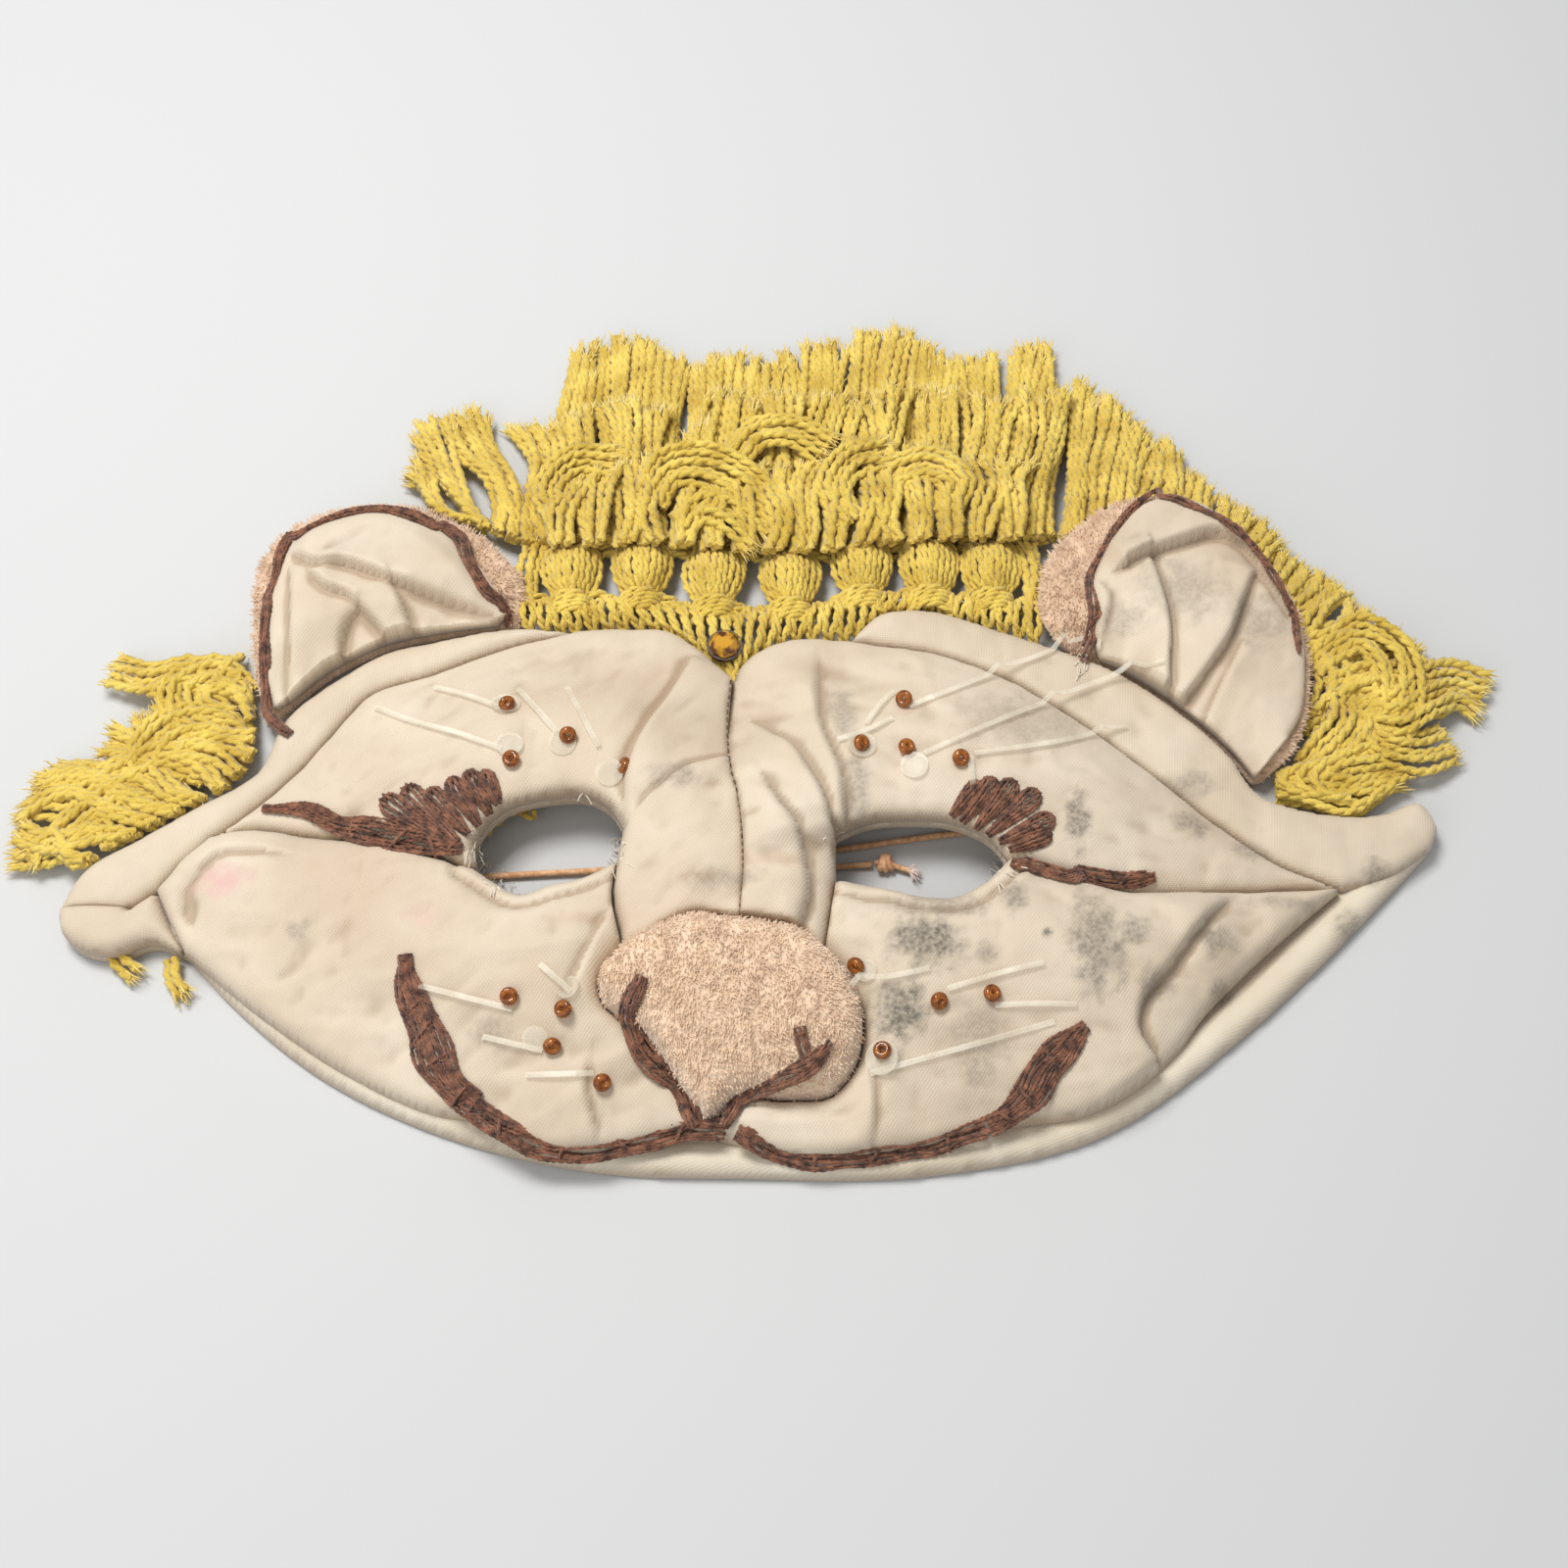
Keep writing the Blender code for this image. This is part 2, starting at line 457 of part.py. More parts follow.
def flat_sheet(outline, cell, holes=(), creases=(), edge_ring=1.8):
    """A triangulated flat sheet with a lattice inside its outline, and doubled lines at creases."""
    points = []
    edges = []
    for loop in (outline, *holes):
        first = len(points)
        points.extend(loop)
        edges.extend((first + i, first + (i + 1) % len(loop)) for i in range(len(loop)))
    walls = [loop + loop[:1] for loop in (outline, *holes)]

    def on_sheet(x, y):
        return inside(x, y, outline) and not any(inside(x, y, hole) for hole in holes)

    def clear_spot(spot, from_walls, from_points, others):
        """Whether the spot is on the sheet, this far from its edges and from the other points."""
        return (on_sheet(spot.x, spot.y) and distance(spot.x, spot.y, walls) >= from_walls
                and all((spot - other).length > from_points for other in others))

    for line in creases:
        for side in (-0.5, 0.5):
            last = None
            for i, point in enumerate(line):
                along = (line[min(i + 1, len(line) - 1)] - line[max(i - 1, 0)]).normalized()
                spot = point + along.orthogonal() * side
                if not clear_spot(spot, 1.0, 0.0, ()):
                    last = None
                    continue
                points.append(spot)
                if last is not None:
                    edges.append((last, len(points) - 1))
                last = len(points) - 1
    if edge_ring:
        for spot in inset(outline, edge_ring):
            if clear_spot(spot, edge_ring * 0.8, 1.6, points[len(outline):]):
                points.append(spot)
    fixed = list(points)
    margin = edge_ring + cell * 0.45 if edge_ring else cell * 0.5
    row_step = cell * math.sqrt(0.75)
    left = min(p.x for p in outline)
    low = min(p.y for p in outline)
    for row in range(int((max(p.y for p in outline) - low) / row_step) + 1):
        for column in range(int((max(p.x for p in outline) - left) / cell) + 2):
            spot = Vector((left + (column + 0.5 * (row % 2)) * cell, low + row * row_step))
            if clear_spot(spot, margin, cell * 0.5, fixed):
                points.append(spot)
    verts, _, faces, _, _, _ = delaunay_2d_cdt(points, edges, [], 0, 1e-4)
    bm = bmesh.new()
    corners = [bm.verts.new((p.x, p.y, 0.0)) for p in verts]
    for face in faces:
        centre = sum((verts[i] for i in face), Vector((0.0, 0.0))) / len(face)
        if on_sheet(centre.x, centre.y):
            bm.faces.new([corners[i] for i in face])
    bmesh.ops.delete(bm, geom=[v for v in bm.verts if not v.link_faces], context="VERTS")
    return bm


def quilt(name, outline, under, over, cell, colour, **options):
    """A soft solid over its plan outline, between an underside and a top."""
    bm = flat_sheet(outline, cell, **options)
    thicken(bm, under, over)
    return new_object(name, bm, colour)


def make_backing():
    """One cloth backing under the whole face, with the two eye holes cut through."""
    around = ("crown_left", "forehead_left", "forehead_right", "crown_right", "chin_edge", "tab_edge_left")
    outline = boundary(around, 7.0)
    eyes = [boundary(("eye_top_left", "eye_side_left", "eye_low_left"), 6.0),
            boundary(("eye_top_right", "eye_side_right", "eye_low_right"), 6.0)]
    quilt("backing", outline, hollow, backing_top, 8.0, "cloth",
          holes=eyes, edge_ring=4.5)


def surface_finder(names, fallback):
    """A function that gives the top of the named pieces over a plan point, in millimetres."""
    trees = []
    for name in names:
        bm = bmesh.new()
        bm.from_mesh(bpy.data.objects[name].data)
        trees.append(BVHTree.FromBMesh(bm))
        bm.free()

    def top(x, y):
        start = place(x, y, 60.0)
        hits = [tree.ray_cast(start, Vector((0.0, 0.0, -1.0)))[0] for tree in trees]
        return max((hit.z / MM for hit in hits if hit is not None), default=fallback(x, y))
    return top


def backing_top(x, y):
    return hollow(x, y) + BACKING_THICK


def pad_top(name, x, y, flush, rolled, loft, folds):
    """Top of a face pad: rolled down at its free edges, grooved where it meets its neighbour flush."""
    base = backing_top(x, y) + SEAT + PAD_EDGE
    puff = loft * roll(distance(x, y, rolled), PAD_ROLL)
    if name.startswith("face"):
        puff += ridge(x, y)
    groove = GROOVE_DEEP * (1.0 - roll(distance(x, y, flush), GROOVE_WIDE))
    return base + puff - groove + fold_height(x, y, folds)


def make_pads():
    """The stuffed cloth pads of the face, the bands round the crown and the folded side tab."""
    carrier = surface_finder(("backing",), backing_top)
    for name, (names, flush_names, loft, cell) in PADS.items():
        outline = inset(boundary(names), SEAM_GAP)
        flush = [seam(n) for n in flush_names]
        rolled = [seam(n) for n in names if n not in flush_names]
        folds = fold_lines(name)
        quilt(name, outline, lambda x, y: carrier(x, y) + SEAT,
              lambda x, y: pad_top(name, x, y, flush, rolled, loft, folds), cell, "cloth",
              creases=[line for _, _, line in folds])


def make_nose():
    """The plush nose pad, standing on the backing between the bridge and the cheeks."""
    edge = boundary(("nose_top_left", "nose_top_right", "nose_low_right", "nose_low_left"))
    closed = [edge + edge[:1]]
    carrier = surface_finder(("backing",), backing_top)
    quilt("nose_pad", inset(edge, SEAM_GAP), lambda x, y: carrier(x, y) + SEAT,
          lambda x, y: backing_top(x, y) + SEAT + NOSE_EDGE
          + NOSE_LOFT * roll(distance(x, y, closed), PAD_ROLL), 6.0, "plush")


def ear_floor(side, x, y):
    """Underside of an ear: tucked low at its base, lifted over the mane strip behind it."""
    away = distance(x, y, [smooth_line(EARS[side]["base"])])
    lift = EAR_BASE_Z + EAR_LIFT * ease(away / EAR_LIFT_REACH)
    droop = EAR_DROOP * ease((away - EAR_DROOP_FROM) / EAR_DROOP_REACH) if side == "left" else 0.0
    return lift - droop


def base_between(base, front):
    """The part of an ear's base line that lies between the two ends of its cloth front."""
    first, last = Vector(front[-1]), Vector(front[0])
    low = min(first.x, last.x) - 1.0
    high = max(first.x, last.x) + 1.0
    return [p for p in base if low < p.x < high and min((p - first).length, (p - last).length) > 2.5]


def make_ears():
    """Two folded ears: a plush back with a pleated cloth front laid on it."""
    for side, shape in EARS.items():
        base = smooth_line(shape["base"])
        back = smooth_line(shape["back"]) + base
        front = smooth_line(shape["front"]) + base_between(base, shape["front"])
        for outline in (back, front):
            if signed_area(outline) < 0:
                outline.reverse()
        quilt(f"ear_{side}_back", back, lambda x, y: ear_floor(side, x, y),
              lambda x, y: ear_floor(side, x, y) + PLUSH_THICK, 7.5, "plush")
        folds = fold_lines(f"ear_{side}_front")
        rim = [front + front[:1]]
        plush = surface_finder((f"ear_{side}_back",), lambda x, y: ear_floor(side, x, y) + PLUSH_THICK)
        quilt(f"ear_{side}_front", front, lambda x, y: plush(x, y) + EAR_SEAT,
              lambda x, y: plush(x, y) + EAR_SEAT + EAR_CLOTH_THICK
              + EAR_RIM_RISE * roll(distance(x, y, rim), 4.0) + fold_height(x, y, folds), 7.0, "cloth",
              creases=[line for _, _, line in folds])


def strip_outline(points, half_width, ends=None):
    """Outline of a strip along a line, narrowing to `ends` at both of its ends."""
    line = smooth_line(points, 3.6)
    left_side = []
    right_side = []
    for i, point in enumerate(line):
        along = (line[min(i + 1, len(line) - 1)] - line[max(i - 1, 0)]).normalized()
        t = i / (len(line) - 1)
        half = half_width if ends is None else ends + (half_width - ends) * math.sin(math.pi * t) ** 0.6
        left_side.append(point + along.orthogonal() * half)
        right_side.append(point - along.orthogonal() * half)
    outline = right_side + left_side[::-1]
    return outline if signed_area(outline) > 0 else outline[::-1]


def make_mane_strip():
    """The knotted strip that the mane hangs from: openings cut through, bobbles between them."""
    top = smooth_line(MANE_TOP, 5.5)
    lower = [p for p in seam("crown_left", 5.5)[::-1] if p.x > MANE_TOP[0][0] - 0.5]
    lower += seam("forehead_left")[::-1][1:] + seam("forehead_right")[1:]
    lower += [p for p in seam("crown_right", 5.5)[1:] if p.x < MANE_TOP[-1][0] + 1.0]
    outline = inset(lower + top[::-1], 2.0 * SEAM_GAP)
    holes = []
    for x, y in MANE_HOLES:
        ring = [Vector((x + HOLE_HALF_SIZE * math.cos(a), y + HOLE_HALF_SIZE * 1.25 * math.sin(a)))
                for a in [math.tau * k / 6 for k in range(6)]]
        holes.append(ring)

    def top_height(x, y):
        swell = max(math.exp(-((x - bx) ** 2 + (y - by) ** 2) / (0.5 * BOBBLE_RADIUS ** 2))
                    for bx, by in MANE_BOBBLES)
        return MANE_STRIP_HIGH + BOBBLE_RISE * swell

    quilt("mane_strip", outline, lambda x, y: 0.0, top_height, 5.4, "yarn_gold", holes=holes,
          edge_ring=0.0)
    for side, points in (("left", MANE_WING_LEFT), ("right", MANE_WING_RIGHT)):
        wing = strip_outline(points, WING_HALF_WIDTH)
        quilt(f"mane_strip_{side}_end", wing, lambda x, y: 0.0, lambda x, y: WING_HIGH, 9.0,
              "yarn_gold", edge_ring=0.0)
    knob = smooth_line(MANE_END_RIGHT, 5.0, closed=True)
    rim = [knob + knob[:1]]
    quilt("mane_end_right", knob, lambda x, y: 0.0, lambda x, y: MANE_END_EDGE
          + MANE_END_RISE * roll(distance(x, y, rim), MANE_END_ROLL), 6.0, "yarn_gold")


def along_line(line, t):
    """The point at the fraction t of a line's own length."""
    spans = [(b - a).length for a, b in zip(line, line[1:])]
    left = t * sum(spans)
    for a, b, span in zip(line, line[1:], spans):
        if left <= span:
            return a.lerp(b, left / span)
        left -= span
    return line[-1].copy()


def make_fringes():
    """Tiers of yarn locks, each tier fused into one body along its root."""
    for name, (locks, floor, thick, root_points, tip_points) in FRINGES.items():
        root = smooth_line(root_points, 4.0)
        tips = smooth_line(tip_points, 4.0)
        columns = 2 * locks
        bm = bmesh.new()
        bmesh.ops.create_grid(bm, x_segments=columns, y_segments=LOCK_ROWS, size=0.5)
        heights = {}
        for vert in bm.verts:
            across = vert.co.x + 0.5
            out = vert.co.y + 0.5
            ridge_column = round(across * columns) % 2 == 1
            reach = out * (1.0 if ridge_column else 1.0 - LOCK_NOTCH)
            sway = LOCK_SWAY * math.sin(9.7 * across * locks ** 0.5 + 2.0 * out) * out * out
            start = along_line(root, across)
            end = along_line(tips, across)
            side = (end - start).normalized().orthogonal()
            spot = start.lerp(end, reach) + side * sway
            vert.co = (spot.x, spot.y, 0.0)
            full = thick * (1.0 if ridge_column else LOCK_VALLEY) * (1.0 - LOCK_TAPER * out)
            heights[(round(spot.x, 4), round(spot.y, 4))] = floor + full
        thicken(bm, lambda x, y: floor, lambda x, y: heights[(round(x, 4), round(y, 4))])
        new_object(name, bm, "yarn_gold")


def make_yarn_lines():
    """Brown yarn sewn down on the cloth, each line a flat strip that follows what is under it."""
    for name, (ends, middle, carriers, points) in YARN_LINES.items():
        top = surface_finder(carriers, backing_top)
        quilt(name, strip_outline(points, middle, ends), lambda x, y: top(x, y) + YARN_SEAT,
              lambda x, y: top(x, y) + YARN_SEAT + YARN_LINE_HIGH, middle * 1.9, "yarn_brown",
              edge_ring=0.0)
    for name, (carrier, points) in LASH_FANS.items():
        top = surface_finder((carrier,), backing_top)
        corners = [Vector(p) for p in points]
        fan = []
        for start, end in zip(corners, corners[1:] + corners[:1]):
            pieces = max(1, round((end - start).length / 3.0))
            fan.extend(start.lerp(end, k / pieces) for k in range(pieces))
        if signed_area(fan) < 0:
            fan.reverse()
        quilt(name, fan, lambda x, y: top(x, y) + YARN_SEAT,
              lambda x, y: top(x, y) + YARN_SEAT + YARN_LINE_HIGH, 3.2, "yarn_brown", edge_ring=0.0)


def make_elastic():
    """Round elastic lying on the table in the hollow, and the knot at its loose end."""
    line = smooth_line(ELASTIC_ROUTE, 4.6)
    curve = bpy.data.curves.new("elastic", "CURVE")
    curve.dimensions = "3D"
    curve.bevel_depth = ELASTIC_DIAMETER / 2 * MM
    curve.bevel_resolution = 2
    curve.use_fill_caps = True
    spline = curve.splines.new("POLY")
    spline.points.add(len(line) - 1)
    for point, spot in zip(spline.points, line):
        point.co = (*place(*spot), 1.0)
    curve.materials.append(material("elastic"))
    bpy.data.collections["lion_mask"].objects.link(bpy.data.objects.new("elastic", curve))
    bm = bmesh.new()
    bmesh.ops.create_uvsphere(bm, u_segments=10, v_segments=6, radius=KNOT_RADIUS * MM)
    bmesh.ops.scale(bm, vec=(1.0, 0.9, 0.75), verts=bm.verts)
    bmesh.ops.translate(bm, vec=place(*KNOT_PLACE, KNOT_RADIUS * 0.75 + 0.05), verts=bm.verts)
    new_object("elastic_knot", bm, "elastic")


def make_stone():
    """An amber rhinestone with a table and eight facets, on the ring that it is sewn on by."""
    ring = bpy.data.meshes.new("stone_ring")
    outer, inner = STONE_RADIUS + 0.25, STONE_RADIUS - 0.75
    profile = ((outer, STONE_RING_HIGH), (outer, 0.0), (inner, 0.0), (inner, STONE_RING_HIGH))
    ring.from_pydata([(r * MM, 0.0, z * MM) for r, z in profile], [(0, 1), (1, 2), (2, 3), (3, 0)], [])
    ring.materials.append(material("brass"))
    setting = bpy.data.objects.new("stone_ring", ring)
    bpy.data.collections["lion_mask"].objects.link(setting)
    setting.location = place(*STONE_PLACE, STONE_SEAT_Z)
    turn = setting.modifiers.new("turn", "SCREW")
    turn.steps = 16
    turn.render_steps = 16
    turn.use_merge_vertices = True
    turn.merge_threshold = 0.0001
    bm = bmesh.new()
    bmesh.ops.create_cone(bm, cap_ends=True, segments=8, radius1=STONE_RADIUS * MM,
                          radius2=STONE_RADIUS * 0.58 * MM, depth=STONE_HIGH * MM)
    middle = STONE_SEAT_Z + STONE_RING_HIGH + STONE_CLEAR + STONE_HIGH / 2
    bmesh.ops.translate(bm, vec=place(*STONE_PLACE, middle), verts=bm.verts)
    new_object("rhinestone", bm, "amber")


def main():
    for old in list(bpy.data.objects):
        bpy.data.objects.remove(old, do_unlink=True)
    mask = bpy.data.collections.new("lion_mask")
    bpy.context.scene.collection.children.link(mask)
    make_backing()
    make_pads()
    make_nose()
    make_ears()
    make_mane_strip()
    make_fringes()
    make_yarn_lines()
    make_elastic()
    make_stone()


main()
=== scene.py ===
import math
import random

import bmesh
import bpy
import numpy as np
from mathutils import Matrix, Vector, noise
from mathutils.bvhtree import BVHTree


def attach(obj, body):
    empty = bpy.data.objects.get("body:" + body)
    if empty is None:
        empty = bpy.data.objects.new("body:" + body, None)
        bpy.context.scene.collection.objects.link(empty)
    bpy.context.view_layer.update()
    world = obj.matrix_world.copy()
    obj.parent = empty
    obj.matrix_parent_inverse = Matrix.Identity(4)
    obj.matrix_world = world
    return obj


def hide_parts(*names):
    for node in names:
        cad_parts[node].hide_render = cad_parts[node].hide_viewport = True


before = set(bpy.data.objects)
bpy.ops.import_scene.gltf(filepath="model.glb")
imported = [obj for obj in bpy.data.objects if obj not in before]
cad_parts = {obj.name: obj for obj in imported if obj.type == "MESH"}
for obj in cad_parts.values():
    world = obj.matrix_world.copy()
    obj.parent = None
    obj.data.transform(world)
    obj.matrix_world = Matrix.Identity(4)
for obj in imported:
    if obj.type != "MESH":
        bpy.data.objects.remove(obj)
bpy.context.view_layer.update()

# Camera: it looks down on the mask from in front of the chin, at the photograph's angle.
# Sizes in this file are millimetres in the mask's own plan, as a maker would draw it, and
# place() turns them into the frame's metres.
MM = 0.001
PLAN_CENTRE = Vector((-7.07, 13.39, 0.0))
CAMERA_TILT = math.radians(64.0)
CAMERA_AWAY = 376.0
FOCAL_MM = 50.0
SENSOR_MM = 36.0
PHOTO_SIDE = 1600
EYE_POINT = Vector((0.0, -CAMERA_AWAY * math.cos(CAMERA_TILT),
                    CAMERA_AWAY * math.sin(CAMERA_TILT)))
UP = Vector((0.0, 0.0, 1.0))


def place(spot):
    """A point of the mask's plan in millimetres, as a point of the frame in metres."""
    return (Vector(spot) - PLAN_CENTRE) * MM


def on_photo(px, py, z):
    """The plan point at height z that the photograph shows at a pixel."""
    right = (px - PHOTO_SIDE / 2) * SENSOR_MM / FOCAL_MM / PHOTO_SIDE
    up = (PHOTO_SIDE / 2 - py) * SENSOR_MM / FOCAL_MM / PHOTO_SIDE
    sine, cosine = math.sin(CAMERA_TILT), math.cos(CAMERA_TILT)
    ray = Vector((right, cosine + up * sine, -sine + up * cosine))
    return EYE_POINT + ray * ((z - EYE_POINT.z) / ray.z)


camera_data = bpy.data.cameras.new("camera")
camera_data.lens = FOCAL_MM
camera_data.sensor_width = SENSOR_MM
camera_data.clip_start = 0.01
camera = bpy.data.objects.new("camera", camera_data)
camera.location = place(EYE_POINT)
camera.rotation_euler = (math.pi / 2 - CAMERA_TILT, 0.0, 0.0)
bpy.context.scene.collection.objects.link(camera)
bpy.context.scene.camera = camera

# Floor and light: a plain pale floor, a soft light over the left of the mane and a wider,
# weaker one from the left of the chin, in a pale room. The floor's two sizes are in metres.
FLOOR_SIDE = 6.0
FLOOR_DROP = 0.0003
KEY_PLACE = (-190.0, 190.0, 640.0)
FILL_PLACE = (-350.0, -420.0, 420.0)


def shader_of(made):
    return made.node_tree.nodes["Principled BSDF"]


def set_inputs(made, values):
    for name, value in values.items():
        shader_of(made).inputs[name].default_value = value


def new_material(name, colour, roughness, sheen=0.0):
    """A material with one colour and roughness, to which nodes are added."""
    made = bpy.data.materials.new(name)
    made.use_nodes = True
    set_inputs(made, {"Base Color": (*colour, 1.0), "Roughness": roughness, "Sheen Weight": sheen})
    return made


floor_bm = bmesh.new()
bmesh.ops.create_grid(floor_bm, x_segments=1, y_segments=1, size=FLOOR_SIDE / 2)
floor_mesh = bpy.data.meshes.new("floor")
floor_bm.to_mesh(floor_mesh)
floor_bm.free()
floor = bpy.data.objects.new("floor", floor_mesh)
floor.location.z = -FLOOR_DROP
floor_mesh.materials.append(new_material("floor_paper", (0.60, 0.60, 0.59), 0.85))
bpy.context.scene.collection.objects.link(floor)


def soft_light(name, spot, side, power):
    """A square studio light that points at the middle of the mask."""
    data = bpy.data.lights.new(name, "AREA")
    data.size = side
    data.energy = power
    made = bpy.data.objects.new(name, data)
    made.location = place(spot)
    aim = place((0.0, 0.0, 0.0)) - made.location
    made.rotation_euler = aim.to_track_quat("-Z", "Y").to_euler()
    bpy.context.scene.collection.objects.link(made)


soft_light("key_light", KEY_PLACE, 0.24, 4.1)
soft_light("fill_light", FILL_PLACE, 0.6, 1.25)
room = bpy.data.worlds.new("room")
room.use_nodes = True
background = room.node_tree.nodes["Background"].inputs
background["Color"].default_value = (0.95, 0.97, 1.0, 1.0)
background["Strength"].default_value = 0.42
bpy.context.scene.world = room
bpy.context.scene.view_settings.view_transform = "Standard"

# Elastic: one covered round elastic, sewn in under the right side, that crosses both eye
# openings, turns under the left side and comes back below the nose to a knotted, frayed end.
ELASTIC_DIAMETER = 1.2
ELASTIC_ROUTE = ((65.5, -12.2, 0.75), (59.5, -11, 0.65), (52, -9.2, 0.65), (44, -8.6, 0.65),
                 (29, -9.8, 0.65), (8.5, -12.8, 0.65), (-12, -15.2, 0.65), (-31.5, -16.6, 0.65),
                 (-48, -17.6, 0.65), (-61, -18.8, 0.65), (-69.5, -20.2, 0.65), (-73.5, -23.8, 0.65),
                 (-71, -28, 0.65), (-62, -30, 0.65), (-46, -30.5, 0.65), (-31, -28.5, 0.65),
                 (-19, -22.5, 0.65), (-8, -18.6, 0.65), (4, -16.4, 0.65), (14.8, -15.5, 0.75))
ELASTIC_RIB = 0.22
KNOT_PLACE = Vector((17.0, -15.4, 1.2))
# Columns: half width, half height and shift along the cord of each turn of the knot
KNOT_TURNS = ((1.25, 1.0, -0.5), (1.35, 1.05, 0.25), (1.1, 0.9, 0.9))
KNOT_TAIL = ((-1.6, 0.1, -0.3), (0.0, 0.2, 0.1), (1.6, -0.4, -0.2), (3.3, -1.0, -0.4),
             (4.6, -1.4, -0.4))
FRAY_ROOT = KNOT_PLACE + Vector((4.3, -1.4, -0.35))
FRAY_STRANDS = 60


def smooth_line(points, spacing, closed=False):
    """Points about `spacing` apart on a smooth curve through the given ones, flat or in space."""
    knots = [Vector(p) for p in points]
    count = len(knots)

    def tangent(i):
        if not closed and i == 0:
            return (knots[1] - knots[0]).normalized()
        if not closed and i == count - 1:
            return (knots[-1] - knots[-2]).normalized()
        in_run = knots[i] - knots[i - 1]
        out_run = knots[(i + 1) % count] - knots[i]
        mixed = in_run.normalized() * out_run.length + out_run.normalized() * in_run.length
        return mixed / (in_run.length + out_run.length)

    result = []
    for i in range(count if closed else count - 1):
        start, end = knots[i], knots[(i + 1) % count]
        run = (end - start).length
        pieces = max(1, round(run / spacing))
        start_pull = tangent(i) * run
        end_pull = tangent((i + 1) % count) * run
        for k in range(pieces):
            t = k / pieces
            result.append(start * (2 * t ** 3 - 3 * t ** 2 + 1) + end * (3 * t ** 2 - 2 * t ** 3)
                          + start_pull * (t ** 3 - 2 * t ** 2 + t) + end_pull * (t ** 3 - t ** 2))
    if not closed:
        result.append(knots[-1])
    return result


def flat_line(points, spacing):
    """A smooth line as an array of plan points."""
    return np.array([tuple(p) for p in smooth_line(points, spacing)])


def heading(line, i):
    """The run from the point before to the point after one of a line's points."""
    return Vector(line[min(i + 1, len(line) - 1)]) - Vector(line[max(i - 1, 0)])


def add_spline(curve, points, widths=None):
    """One more thread of a curve, through plan points, with its width at each as a share."""
    spline = curve.splines.new("POLY")
    spline.points.add(len(points) - 1)
    flat = []
    for point in points:
        flat.extend((*place(point), 1.0))
    spline.points.foreach_set("co", flat)
    if widths is not None:
        spline.points.foreach_set("radius", widths)
    return spline


def new_thread(name, thickness, sides):
    """An empty curve of round threads. `sides` counts the flats of a thread: 4, 6 or 8."""
    curve = bpy.data.curves.new(name, "CURVE")
    curve.dimensions = "3D"
    curve.bevel_depth = thickness / 2 * MM
    curve.bevel_resolution = (sides - 4) // 2
    curve.use_fill_caps = True
    return curve


def link_piece(piece, finish):
    """Put a finished piece into the scene with its material, under the body root."""
    bpy.context.scene.collection.objects.link(piece)
    piece.data.materials.append(finish)
    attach(piece, "root")
    return piece


elastic_finish = new_material("covered_elastic", (0.80, 0.42, 0.20), 0.62, 0.3)
frayed_finish = new_material("frayed_elastic", (0.86, 0.70, 0.62), 0.8, 0.4)


def add_node(made, kind, values=(), feeds=(), **settings):
    """One more node of a material, with its settings, input values and what feeds its inputs."""
    node = made.node_tree.nodes.new("ShaderNode" + kind)
    for name, value in settings.items():
        setattr(node, name, value)
    for name, value in dict(values).items():
        node.inputs[name].default_value = value
    for name, output in dict(feeds).items():
        made.node_tree.links.new(output, node.inputs[name])
    return node


def shade_by(made, name, output):
    """Let a node's output set one of the material's own inputs."""
    made.node_tree.links.new(output, shader_of(made).inputs[name])


def grain(made, size, detail):
    """Noise over a piece, with patches of about `size` mm."""
    coords = add_node(made, "TexCoord")
    return add_node(made, "TexNoise", {"Scale": 1.0 / (size * MM), "Detail": detail},
                    {"Vector": coords.outputs["Object"]}).outputs["Fac"]


def dent(made, height, strength, distance):
    bump = add_node(made, "Bump", {"Strength": strength, "Distance": distance * MM},
                    {"Height": height})
    shade_by(made, "Normal", bump.outputs["Normal"])


def fibre_bump(made, size, strength, distance):
    """Fine fibres on a thread or in a plush: a noise that dents it."""
    dent(made, grain(made, size, 3.0), strength, distance)


def mottle(made, dark, light, size, low=0.35, high=0.65):
    """Colour that wanders between a dark and a light tone of the same stuff."""
    ramp = add_node(made, "ValToRGB", feeds={"Fac": grain(made, size, 4.0)})
    for stop, spot, tone in zip(ramp.color_ramp.elements, (low, high), (dark, light)):
        stop.position = spot
        stop.color = (*tone, 1.0)
    shade_by(made, "Base Color", ramp.outputs["Color"])


fibre_bump(elastic_finish, 0.25, 0.4, 0.1)
mottle(elastic_finish, (0.62, 0.29, 0.12), (0.86, 0.52, 0.28), 0.8)
fibre_bump(frayed_finish, 0.2, 0.5, 0.1)

elastic_line = smooth_line(ELASTIC_ROUTE, ELASTIC_RIB)
elastic_curve = new_thread("elastic_cover", ELASTIC_DIAMETER, 8)
add_spline(elastic_curve, elastic_line, [1.0 if i % 2 else 0.86 for i in range(len(elastic_line))])
elastic_piece = bpy.data.objects.new("elastic_cover", elastic_curve)
link_piece(elastic_piece, elastic_finish)
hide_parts("elastic")

knot_curve = new_thread("elastic_end_knot", 1.0, 6)
for turn, (wide, high, shift) in enumerate(KNOT_TURNS):
    ring = [KNOT_PLACE + Vector((shift + 0.35 * math.cos(a + turn), wide * math.cos(a),
                                 0.75 * high * math.sin(a)))
            for a in [math.tau * k / 14 for k in range(14)]]
    add_spline(knot_curve, ring).use_cyclic_u = True
add_spline(knot_curve, [KNOT_PLACE + Vector(p) for p in KNOT_TAIL])
knot_piece = bpy.data.objects.new("elastic_end_knot", knot_curve)
link_piece(knot_piece, elastic_finish)
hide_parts("elastic_knot")

